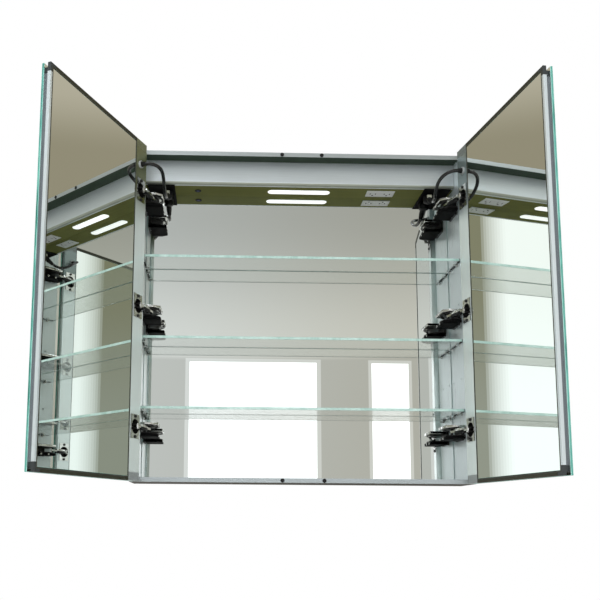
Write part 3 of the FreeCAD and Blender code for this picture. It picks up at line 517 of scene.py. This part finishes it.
def platedMetal(name, tone, worn, rough, metal=1.0):
    paint = Finish(name)
    blotch = paint.noise(paint.place(), plating["blotches"], detail=4.0, rough=0.6)
    scratch = paint.noise(paint.place(plating["scratches"]), 1.0)
    return paint.shown(paint.skin(
        Base_Color=paint.mix(blotch.step(*plating["span"]), worn, tone), Metallic=metal,
        Roughness=wavering(rough, (blotch, plating["blotchRough"]), (scratch, plating["scratchRough"])),
        Normal=paint.bump(scratch, plating["relief"], plating["depth"])))


for name, look in platings.items():
    finishes[name] = platedMetal(name, **look)

lampLook = {
    "middle": (0, -0.038, 0.317), "rim": (0.00006, 0.000125),  # squares of the way from the middle
    "glow": (1.0, 1.0, 1.0), "rimGlow": (0.80, 0.83, 0.84), "strength": 0.9,
    "tones": ((0.90, 0.91, 0.91), (0.95, 0.95, 0.94)), "cells": 420.0, "rough": 0.4, "cellRough": 0.1,
}


def litDiffuser(name, look):
    paint = Finish(name)
    away = paint.parts(paint.place(middle=look["middle"]))[1]
    rim = (away * away).step(*look["rim"])
    cell = paint.noise(paint.place(), look["cells"])
    return paint.shown(paint.skin(
        Base_Color=paint.mix(cell, *look["tones"]), Roughness=cell * look["cellRough"] + look["rough"],
        Emission_Color=paint.mix(rim, look["glow"], look["rimGlow"]), Emission_Strength=look["strength"]))


finishes["lampPlastic"] = litDiffuser("lampPlastic", lampLook)

touchLook = {
    "middle": (-0.242, -0.038, 0.318), "radius": 0.0085,
    "tones": ((0.006, 0.006, 0.008), (0.012, 0.012, 0.015)), "grain": 500.0,
    "rough": 0.3, "grainRough": 0.1, "gloss": 0.04,
    "heart": (0.07, 0.085, 0.17), "heartSpan": (0.30, 0.50),  # paler in the middle, by share of the radius
}


def touchFace(name, look):
    paint = Finish(name)
    across, away, _ = paint.parts(paint.place(middle=look["middle"]))
    out = ((across ** 2 + away ** 2) ** 0.5) / look["radius"]
    fine = paint.noise(paint.place(), look["grain"])
    heart = 1 - out.step(*look["heartSpan"])
    colour = paint.mix(heart, paint.mix(fine, *look["tones"]), look["heart"])
    return paint.shown(paint.skin(Base_Color=colour, Roughness=fine * look["grainRough"] + look["rough"],
                                  Specular_IOR_Level=look["gloss"]))


finishes["touchFace"] = touchFace("touchFace", touchLook)
print("finishes:", len(finishes))

leads = {  # from the glands under the light box to the doors
    "leftLead": {
        "node": "left_lead", "door": "left_door", "length": 0.1658, "thick": 0.008,
        "route": [(-0.315, -0.05252, 0.297), (-0.315, -0.07157, 0.286), (-0.3156, -0.0942, 0.2854),
                  (-0.317, -0.1154, 0.2929), (-0.3179, -0.1332, 0.3052), (-0.3195, -0.1512, 0.314),
                  (-0.3246, -0.1621, 0.319), (-0.3328, -0.1698, 0.322), (-0.3434, -0.1739, 0.3234),
                  (-0.35454, -0.173682, 0.324), (-0.364665, -0.169384, 0.324)],
    },
    "rightLead": {
        "node": "right_lead", "door": "right_door", "length": 0.1589, "thick": 0.008,
        "route": [(0.315, -0.05252, 0.297), (0.315, -0.07157, 0.286), (0.3129, -0.0934, 0.2819),
                  (0.3102, -0.1104, 0.2873), (0.309, -0.1264, 0.2973), (0.3111, -0.141, 0.3077),
                  (0.3187, -0.1548, 0.3163), (0.3308, -0.1639, 0.3216), (0.344185, -0.167207, 0.324),
                  (0.357058, -0.165398, 0.324)],
    },
}
leadMesh = {"order": 3, "steps": 10, "round": 6, "merge": 0.00001, "smooth": 50}


def selectOnly(piece):
    bpy.ops.object.select_all(action="DESELECT")
    piece.select_set(True)
    bpy.context.view_layer.objects.active = piece


def addLead(name, look):
    curve = bpy.data.curves.new(name, "CURVE")
    curve.dimensions = "3D"
    spline = curve.splines.new("NURBS")
    spline.points.add(len(look["route"]) - 1)
    for point, spot in zip(spline.points, look["route"]):
        point.co = (*spot, 1)
    spline.order_u = leadMesh["order"]
    spline.use_endpoint_u = True
    spline.resolution_u = leadMesh["steps"]
    lead = bpy.data.objects.new(name, curve)
    bpy.context.scene.collection.objects.link(lead)
    line = bpy.data.meshes.new_from_object(lead)
    bpy.data.meshes.remove(line)
    curve.bevel_depth = look["thick"] / 2
    curve.bevel_resolution = leadMesh["round"]
    curve.use_fill_caps = True
    selectOnly(lead)
    bpy.ops.object.convert(target="MESH")
    lead = bpy.context.object
    bpy.ops.object.mode_set(mode="EDIT")
    bpy.ops.mesh.select_all(action="SELECT")
    bpy.ops.mesh.remove_doubles(threshold=leadMesh["merge"])
    bpy.ops.mesh.normals_make_consistent(inside=False)
    bpy.ops.object.mode_set(mode="OBJECT")
    bpy.ops.object.shade_smooth_by_angle(angle=math.radians(leadMesh["smooth"]))
    lead.data.materials.clear()
    lead.data.materials.append(finishes["leadJacket"])
    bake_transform(lead)
    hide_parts(look["node"])


for name, look in leads.items():
    addLead(name, look)
print("leads:", len(leads))

easing = {"merge": 0.000005, "flat": 0.6, "corner": 35, "smooth": 38, "weight": 90}  # metres and degrees


def dressNode(node, ease, *names):  # a copy of the solid with eased edges and its own finishes
    source = frame["nodes"][node]
    piece = bpy.data.objects.new(node + "_piece", source.data.copy())
    bpy.context.scene.collection.objects.link(piece)
    selectOnly(piece)
    bpy.ops.mesh.customdata_custom_splitnormals_clear()
    bpy.ops.object.mode_set(mode="EDIT")
    bpy.ops.mesh.select_all(action="SELECT")
    bpy.ops.mesh.remove_doubles(threshold=easing["merge"])
    bpy.ops.mesh.dissolve_limited(angle_limit=math.radians(easing["flat"]))
    bpy.ops.object.mode_set(mode="OBJECT")
    eased = piece.modifiers.new("eased", "BEVEL")
    eased.limit_method = "ANGLE"
    eased.angle_limit = math.radians(easing["corner"])
    eased.width, eased.segments = ease
    bpy.ops.object.modifier_apply(modifier=eased.name)
    bpy.ops.object.shade_smooth_by_angle(angle=math.radians(easing["smooth"]))
    flat = piece.modifiers.new("flat", "WEIGHTED_NORMAL")  # broad faces stay flat
    flat.keep_sharp = True
    flat.weight = easing["weight"]
    bpy.ops.object.modifier_apply(modifier=flat.name)
    piece.data.materials.clear()
    for name in names:
        piece.data.materials.append(finishes[name])
    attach(piece, source["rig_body"])
    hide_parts(node)
    return piece


def paintFaces(piece, slot, wanted):
    for face in piece.data.polygons:
        if wanted(face):
            face.material_index = slot


dressing = {  # node: eased edge and its steps, finish, record's slot
    "back_panel": ((0.0005, 2), "boardPlastic", "board_plastic"),
    # the light box base gets painted shade and reflection
    "shelf_pins": ((0.0003, 2), "hingeNickel", "hinge_nickel"),
    "light_box_base": ((0.0003, 2), "paintedBoxUnderShade", "bronze_aluminium"),
    "led_diffuser": ((0.0006, 3), "lampPlastic", "lamp_plastic"),
    "touch_switch": ((0.0004, 3), "touchFace", "switch_plastic"),
    "door_bumpers": ((0.0005, 3), "blackRubber", "black_rubber"),
    "cable_glands": ((0.0006, 3), "blackPlasticAndSlotShade", "black_plastic"),
    "body_screws": ((0.0003, 2), "screwSteel", "screw_steel"),
}
sideDressing = {  # the same for what is on both sides
    "side_panel": ((0.0005, 2), "uprightAluminium", "satin_aluminium"),
    # the door rails and gaskets get painted shade and reflection
    "door_top_rail": ((0.0004, 2), "paintedRailShade", "satin_aluminium"),
    "door_bottom_rail": ((0.0004, 2), "paintedRailShade", "satin_aluminium"),
    "door_mirror_gasket": ((0.0003, 2), "paintedGasketShade", "grey_plastic"),
    "door_cable_grommet": ((0.0005, 3), "greyPlastic", "grey_plastic"),
    "hinge_cup_screws": ((0.0003, 2), "hingeDark", "screw_steel"),
    "hinge_pins": ((0.0003, 2), "screwSteel", "screw_steel"),
    "hinge_levers": ((0.0004, 2), "hingeNickel", "hinge_nickel"),
    "hinge_rollers": ((0.0003, 2), "blackPlasticAndSlotShade", "black_plastic"),
    "hinge_arms": ((0.0004, 2), "hingeDark", "hinge_dark"),
    "hinge_plates": ((0.0004, 2), "hingeDark", "hinge_dark"),
    "hinge_plate_screws": ((0.0003, 2), "screwSteel", "screw_steel"),
}
sides = {"left": -1, "right": 1}  # the way out from the middle
for side in sides:
    for part, row in sideDressing.items():
        dressing[side + "_" + part] = row
    dressing[side + "_door_hinge_stile"] = ((0.0005, 2), side + "Stile", "satin_aluminium")
for node, (ease, finish, slot) in dressing.items():
    piece = dressNode(node, ease, finish)
print("dressed:", len(dressing))

facing = 0.9  # how closely a face has to look one way
decks = {  # finish in front, painted shade and reflection below
    "top_panel": ("headAluminium", "shadeAluminium"),
    "bottom_panel": ("footAluminium", "paintedUmberShade"),
}
deckEase = (0.0005, 2)
for node, (front, under) in decks.items():
    piece = dressNode(node, deckEase, front, under)
    # painted shade and reflection on the faces that look down
    paintFaces(piece, 1, lambda face: face.normal.z < -facing)
print("decks:", len(decks))

coverBend = {"ease": (0.0003, 2), "from": -0.985, "to": -0.3}  # the bend along its lower edge, by its slope, gets painted shade
piece = dressNode("light_box_cover", coverBend["ease"], "crossAluminium", "paintedBendShade")
paintFaces(piece, 1, lambda face: coverBend["from"] < face.normal.z < coverBend["to"])
outlet = {"ease": (0.0003, 2), "face": 0.0009}  # faces deeper than this are in the blade slots, which get black as painted shade
piece = dressNode("outlet_receptacle", outlet["ease"], "whitePlastic", "blackPlasticAndSlotShade")
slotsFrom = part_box("outlet_receptacle")[0].z + outlet["face"]
# painted shade inside the blade slots
paintFaces(piece, 1, lambda face: face.center.z > slotsFrom)
print("light box cover and outlet are on")

hingeLines = {"left": Vector((-0.376, -0.1385)), "right": Vector((0.376, -0.1385))}
inwards = {"left": Vector((0.9205, -0.3907)), "right": Vector((-0.9903, -0.1392))}  # from the inner faces
capLook = {"ease": (0.0005, 3), "hingeSide": 0.07}  # caps nearer to the hinge than this match the stile
cupLook = {"ease": (0.0004, 2), "mouth": 0.0178, "flange": 0.3}
latchLook = {"ease": (0.0004, 2), "groove": 0.001, "floor": 0.5}  # faces this far in are in its groove
for side, out in sides.items():
    line, inward = hingeLines[side], inwards[side]
    along = Vector((inward.y, -inward.x)) * -out  # way from the hinge to the latch
    capFinishes = ("capPlastic", "capGrey", side + "TopCapShade")
    piece = dressNode(side + "_door_corner_caps", capLook["ease"], *capFinishes)
    paintFaces(piece, 1, lambda face: (face.center.xy - line).length < capLook["hingeSide"])
    # the upper hinge-side caps get the painted reflection of the stile tops
    paintFaces(piece, 2, lambda face: face.material_index == 1 and face.center.z > 0)
    piece = dressNode(side + "_hinge_cups", cupLook["ease"], "hingeNickel", "hingeDark")
    # painted shade down in the cup and a painted shadow round the flange
    paintFaces(piece, 1, lambda face: (face.center.xy - line).dot(inward) < cupLook["mouth"])
    paintFaces(piece, 1, lambda face: face.normal.xy.dot(inward) < cupLook["flange"])
    piece = dressNode(side + "_door_latch_stile", latchLook["ease"], "latchAluminium", "latchShade")
    deep = max((vertex.co.xy - line).dot(along) for vertex in piece.data.vertices) - latchLook["groove"]
    inGroove = lambda face: (face.center.xy - line).dot(along) < deep
    # painted shade on the groove floor
    paintFaces(piece, 1, lambda face: inGroove(face) and face.normal.xy.dot(along) > latchLook["floor"])
print("corner caps, hinge cups and latch stiles:", len(sides))

panes = {  # node: eased edge and its steps
    "left_door_front_mirror": (0.0008, 3), "right_door_front_mirror": (0.0008, 3),
    "left_door_back_mirror": (0.0006, 3), "right_door_back_mirror": (0.0006, 3), "back_mirror": (0.0006, 3),
}
paneLook = {"silver": 0.05, "arris": (0.2, 0.97)}  # silvered faces are larger than this; slope of the arris
for node, ease in panes.items():
    piece = dressNode(node, ease, "mirrorEdge", "mirrorFace", "mirrorArrisHighlight")
    paintFaces(piece, 1, lambda face: face.area > paneLook["silver"])
    inward = inwards.get(node.split("_")[0])
    if inward:  # painted highlight: the arris of a door pane is paler than its edge
        low, high = paneLook["arris"]
        paintFaces(piece, 2, lambda face: low < abs(face.normal.xy.dot(inward)) < high)
shelves = ("bottom_shelf", "middle_shelf", "top_shelf")
shelfEdges = {"ease": (0.0006, 3), "end": 0.7}  # the ends get painted shade, deeper in tone
for node in shelves:
    piece = dressNode(node, shelfEdges["ease"], "shelfEdge", "shelfGlass", "shelfEndShade")
    paintFaces(piece, 1, lambda face: abs(face.normal.z) > facing)
    # painted shade on the ends
    paintFaces(piece, 2, lambda face: abs(face.normal.x) > shelfEdges["end"])
print("panes:", len(panes) + len(shelves))


def pick(piece, wanted):  # faces that pass the test become the selection
    selectOnly(piece)
    bpy.ops.object.mode_set(mode="EDIT")
    bpy.ops.mesh.select_mode(type="FACE")
    bpy.ops.mesh.select_all(action="DESELECT")
    bpy.ops.object.mode_set(mode="OBJECT")
    for face in piece.data.polygons:
        face.select = bool(wanted(face))
    bpy.ops.object.mode_set(mode="EDIT")


def endEdit():
    bpy.ops.mesh.select_all(action="SELECT")
    bpy.ops.mesh.remove_doubles(threshold=easing["merge"])
    bpy.ops.mesh.normals_make_consistent(inside=False)
    bpy.ops.object.mode_set(mode="OBJECT")
    bpy.ops.object.shade_smooth_by_angle(angle=math.radians(easing["smooth"]))


def extrude(x, y, z):
    bpy.ops.mesh.extrude_region_move(TRANSFORM_OT_translate={"value": (x, y, z)})


def settle(piece):  # its place goes into its mesh
    selectOnly(piece)
    bpy.ops.object.transform_apply(location=True, rotation=True, scale=True)


def addBlock(name, low, high):
    middle = [(a + b) / 2 for a, b in zip(low, high)]
    bpy.ops.object.select_all(action="DESELECT")
    bpy.ops.mesh.primitive_cube_add(size=1, location=middle)
    block = bpy.context.object
    block.name = name
    block.scale = [b - a for a, b in zip(low, high)]
    settle(block)
    return block


def addRound(corners, radius, tall, middle, turn=(0, 0, 0)):
    bpy.ops.object.select_all(action="DESELECT")
    bpy.ops.mesh.primitive_cylinder_add(vertices=corners, radius=radius, depth=tall, location=middle,
                                        rotation=turn)
    piece = bpy.context.object
    settle(piece)
    return piece


def easeAll(piece, edge, steps=2):
    selectOnly(piece)
    bpy.ops.object.mode_set(mode="EDIT")
    bpy.ops.mesh.select_all(action="SELECT")
    bpy.ops.mesh.bevel(offset=edge, segments=steps, affect="EDGES", clamp_overlap=True)
    endEdit()


def joined(name, pieces):
    bpy.ops.object.select_all(action="DESELECT")
    for piece in pieces:
        piece.select_set(True)
    bpy.context.view_layer.objects.active = pieces[0]
    bpy.ops.object.join()
    pieces[0].name = name
    return pieces[0]


def finished(piece, finish, body):
    piece.data.materials.clear()
    piece.data.materials.append(finishes[finish])
    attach(piece, body)
    return piece


hingeCover = {
    "heights": (-0.265, 0.0, 0.265),
    "wall": 0.361, "reach": 0.0405, "back": -0.046, "front": -0.106,
    "gap": 0.0092, "thick": 0.0068,  # clear of the rollers that run between the covers
    "nose": 0.011, "noseWide": 0.62, "noseHigh": 0.75, "noseLean": 0.19,  # the nose slopes back to the wall
    "rim": 0.0016, "dip": 0.0006, "edge": 0.0011, "broad": 0.0005,  # shallow panel on the broad face
    "plated": {"below": -0.3, "inside": -0.6, "front": -0.3},
}
square = 0.99  # for faces that look straight one way


def addCover(out, height, up, look):
    near, far = sorted((out * look["wall"], out * (look["wall"] - look["reach"])))
    low = height + (look["gap"] if up else -look["gap"] - look["thick"])
    cover = addBlock("cover", (near, look["front"], low), (far, look["back"], low + look["thick"]))
    pick(cover, lambda face: face.normal.y < -facing)
    extrude(0, -look["nose"], 0)
    bpy.ops.transform.resize(value=(look["noseWide"], 1, look["noseHigh"]))
    bpy.ops.transform.translate(value=(out * look["reach"] * look["noseLean"], 0, 0))
    bpy.ops.object.mode_set(mode="OBJECT")
    easeAll(cover, look["edge"])
    outer = 1 if up else -1
    pick(cover, lambda face: face.normal.z * outer > square and face.area > look["broad"])
    bpy.ops.mesh.inset(thickness=look["rim"], depth=0)
    bpy.ops.mesh.inset(thickness=look["dip"], depth=-look["dip"])
    endEdit()
    return cover


def isBright(face, out):  # the upper covers are plated below, in front and along the inner side
    height = min(hingeCover["heights"], key=lambda level: abs(level - face.center.z))
    slope = hingeCover["plated"]
    below, inside = face.normal.z < slope["below"], face.normal.x * out < slope["inside"]
    return face.center.z > height and (below or inside or face.normal.y < slope["front"])


linkShell = {
    "from": 0.010, "to": 0.046, "wide": 0.0078, "split": 0.0006, "high": 0.006, "low": -0.006,
    "rim": 0.0016, "dip": 0.0007, "edge": 0.0008,
}


def addLinkShell(side, height, top, look):  # two halves close round each lever
    pin, roller = (sum(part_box(side + node), Vector()) / 2 for node in ("_hinge_pins", "_hinge_rollers"))
    low, high = (look["split"], look["high"]) if top else (look["low"], look["split"])
    shell = addBlock("shell", (look["from"], -look["wide"] / 2, low), (look["to"], look["wide"] / 2, high))
    outer = 1 if top else -1
    pick(shell, lambda face: face.normal.z * outer > facing)
    bpy.ops.mesh.inset(thickness=look["rim"], depth=0)
    extrude(0, 0, -look["dip"] * outer)
    bpy.ops.object.mode_set(mode="OBJECT")
    easeAll(shell, look["edge"])
    way = (roller - pin).xy
    shell.rotation_euler = (0, 0, math.atan2(way.y, way.x))
    shell.location = (pin.x, pin.y, height)
    settle(shell)
    return shell


adjuster = {
    "across": 0.0052, "proud": 0.0009, "socket": 0.0026, "deep": 0.0012, "places": (-0.057, -0.082),
    "corners": 28, "edge": 0.0002, "broad": 0.00001,
}


def addAdjuster(out, height, away, look, cover):
    face = out * (cover["wall"] - cover["reach"])
    screw = addRound(look["corners"], look["across"] / 2, look["proud"] * 2, (face, away, height),
                     (0, math.pi / 2, 0))
    easeAll(screw, look["edge"])
    pick(screw, lambda end: end.normal.x * out < -square and end.area > look["broad"])
    bpy.ops.mesh.inset(thickness=(look["across"] - look["socket"]) / 2 - look["edge"], depth=0)
    extrude(out * look["deep"] / 2, 0, 0)
    endEdit()
    return screw


for side, out in sides.items():
    covers, screws = [], []
    for height in hingeCover["heights"]:
        for up in (True, False):
            covers.append(addCover(out, height, up, hingeCover))
            middle = height + (1 if up else -1) * (hingeCover["gap"] + hingeCover["thick"] / 2)
            screws += [addAdjuster(out, middle, away, adjuster, hingeCover) for away in adjuster["places"]]
    cover = finished(joined(side + "_hinge_covers", covers), "coverBlack", "cabinet")
    cover.data.materials.append(finishes["hingeNickel"])
    paintFaces(cover, 1, lambda face: isBright(face, out))
    tops = [addLinkShell(side, height, True, linkShell) for height in hingeCover["heights"]]
    finished(joined(side + "_link_tops", tops), "hingeNickel", side + "_levers")
    bottoms = [addLinkShell(side, height, False, linkShell) for height in hingeCover["heights"]]
    finished(joined(side + "_link_bodies", bottoms), "blackPlasticAndSlotShade", side + "_levers")
    finished(joined(side + "_hinge_adjusters", screws), "hingeNickel", "cabinet")
print("hinge covers, link shells and adjusters are on")

gland = {
    "out": 0.315, "away": -0.030, "across": 0.0127, "low": 0.3005, "high": 0.3165, "corners": 6,
    "rim": 0.0022, "drop": 0.0016, "edge": 0.0009,
}


def addNut(out, look):
    middle = (out * look["out"], look["away"], (look["high"] + look["low"]) / 2)
    nut = addRound(look["corners"], look["across"], look["high"] - look["low"], middle)
    pick(nut, lambda face: face.normal.z < -facing)
    bpy.ops.mesh.inset(thickness=look["rim"], depth=0)
    extrude(0, 0, -look["drop"])
    bpy.ops.object.mode_set(mode="OBJECT")
    easeAll(nut, look["edge"])
    return nut


plug = {
    "wide": 0.0105, "high": 0.0105, "proud": 0.0016, "sunk": 0.004, "from": 0.3045,
    "rim": 0.0014, "dip": 0.0008, "edge": 0.0003,
}


def addPlug(out, look, carrier):
    face = carrier["away"] - carrier["across"]
    low = (out * carrier["out"] - look["wide"] / 2, face - look["proud"], look["from"])
    block = addBlock("plug", low, (low[0] + look["wide"], face + look["sunk"], look["from"] + look["high"]))
    pick(block, lambda side: side.normal.y < -facing)
    bpy.ops.mesh.inset(thickness=look["rim"], depth=0)
    extrude(0, look["dip"], 0)
    bpy.ops.object.mode_set(mode="OBJECT")
    easeAll(block, look["edge"])
    return block


boots = {  # radius at the housing, radius at the lead, length, ribs
    "glandBoot": (0.0064, 0.0049, 0.016, 4),
    "grommetBoot": (0.0062, 0.0049, 0.009, 2),
}
bootRibs = {"corners": 32, "groove": 0.0009, "edge": 0.00025}


def addBoot(name, start, towards, look):
    wide, narrow, length, ribs = look
    bpy.ops.object.select_all(action="DESELECT")
    bpy.ops.mesh.primitive_circle_add(vertices=bootRibs["corners"], radius=wide, fill_type="NGON")
    boot = bpy.context.object
    boot.name = name
    bpy.ops.object.mode_set(mode="EDIT")
    bpy.ops.mesh.select_all(action="SELECT")
    radius, step = wide, length / (4 * ribs)  # four rings for each rib
    for rib in range(ribs):
        crest = wide + (narrow - wide) * (rib + 0.5) / ribs
        valley = crest - bootRibs["groove"]
        for target in (crest, crest, valley, valley):
            extrude(0, 0, step)
            bpy.ops.transform.resize(value=(target / radius, target / radius, 1))
            radius = target
    bpy.ops.object.mode_set(mode="OBJECT")
    easeAll(boot, bootRibs["edge"])
    boot.rotation_mode = "QUATERNION"
    boot.rotation_quaternion = (Vector(towards) - Vector(start)).to_track_quat("Z", "Y")
    boot.location = start
    settle(boot)
    return boot


shelfGuard = {
    "reach": 0.0024, "out": 0.0011, "lip": 0.0005, "wall": 0.0005, "edge": 0.0002,
    "runs": ((-0.106, -0.092), (-0.078, -0.058), (-0.053, -0.033), (-0.019, -0.011)),  # clear of the pins
}


def addGuard(shelf, out, run, look):  # a channel pushed over the end of the glass
    low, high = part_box(shelf)
    end = high.x if out > 0 else low.x
    near, far = sorted((end - out * look["reach"], end + out * look["out"]))
    guard = addBlock("guard", (near, run[0], low.z - look["lip"]), (far, run[1], high.z + look["lip"]))
    pick(guard, lambda face: face.normal.x * out < -facing)
    bpy.ops.mesh.inset(thickness=look["wall"], depth=0)
    extrude(out * look["reach"], 0, 0)
    bpy.ops.object.mode_set(mode="OBJECT")
    easeAll(guard, look["edge"], 1)
    return guard


endShadePlate = {
    "from": 0.296, "to": 0.3595, "front": -0.0715, "back": -0.003, "low": 0.3163, "high": 0.3181,
    "rim": 0.003, "dip": 0.0006, "edge": 0.0004,
}


def addEndShadePlate(out, look):  # painted shadow: a black plate under the end of the light box, below its base
    near, far = sorted((out * look["from"], out * look["to"]))
    plate = addBlock("plate", (near, look["front"], look["low"]), (far, look["back"], look["high"]))
    pick(plate, lambda face: face.normal.z < -facing)
    bpy.ops.mesh.inset(thickness=look["rim"], depth=0)
    bpy.ops.mesh.inset(thickness=look["dip"], depth=-look["dip"])
    bpy.ops.object.mode_set(mode="OBJECT")
    easeAll(plate, look["edge"])
    return plate


for side, out in sides.items():
    guards = [addGuard(shelf, out, run, shelfGuard) for shelf in shelves for run in shelfGuard["runs"]]
    finished(joined(side + "_shelf_guards", guards), "guardBlack", "cabinet")
    # a black plate as painted shadow under each end of the light box
    plate = finished(addEndShadePlate(out, endShadePlate), "coverBlack", "cabinet")
    plate.name = side + "_end_shade_plate"
    nut = finished(addNut(out, gland), "blackPlasticAndSlotShade", "cabinet")
    nut.name = side + "_gland_nut"
    block = finished(addPlug(out, plug, gland), "beigePlastic", "cabinet")
    block.name = side + "_gland_plug"
    route = leads[side + "Lead"]["route"]
    boot = addBoot(side + "_gland_boot", route[0], route[1], boots["glandBoot"])
    finished(boot, "blackRubber", "cabinet")
    boot = addBoot(side + "_grommet_boot", route[-1], route[-2], boots["grommetBoot"])
    finished(boot, "blackRubber", side + "_door")
print("shelf guards, end plates, glands and boots are on")

hidden = {  # solids that stay as they are, with a finish
    "led_board": "boardMetal", "led_driver": "boxSteel", "outlet_box": "boxSteel",
    "left_door_defogger_pad": "padFilm", "right_door_defogger_pad": "padFilm",
}
for node, finish in hidden.items():
    inner = frame["nodes"][node]
    inner.data.materials.clear()
    inner.data.materials.append(finishes[finish])
print("inner pieces:", len(hidden))
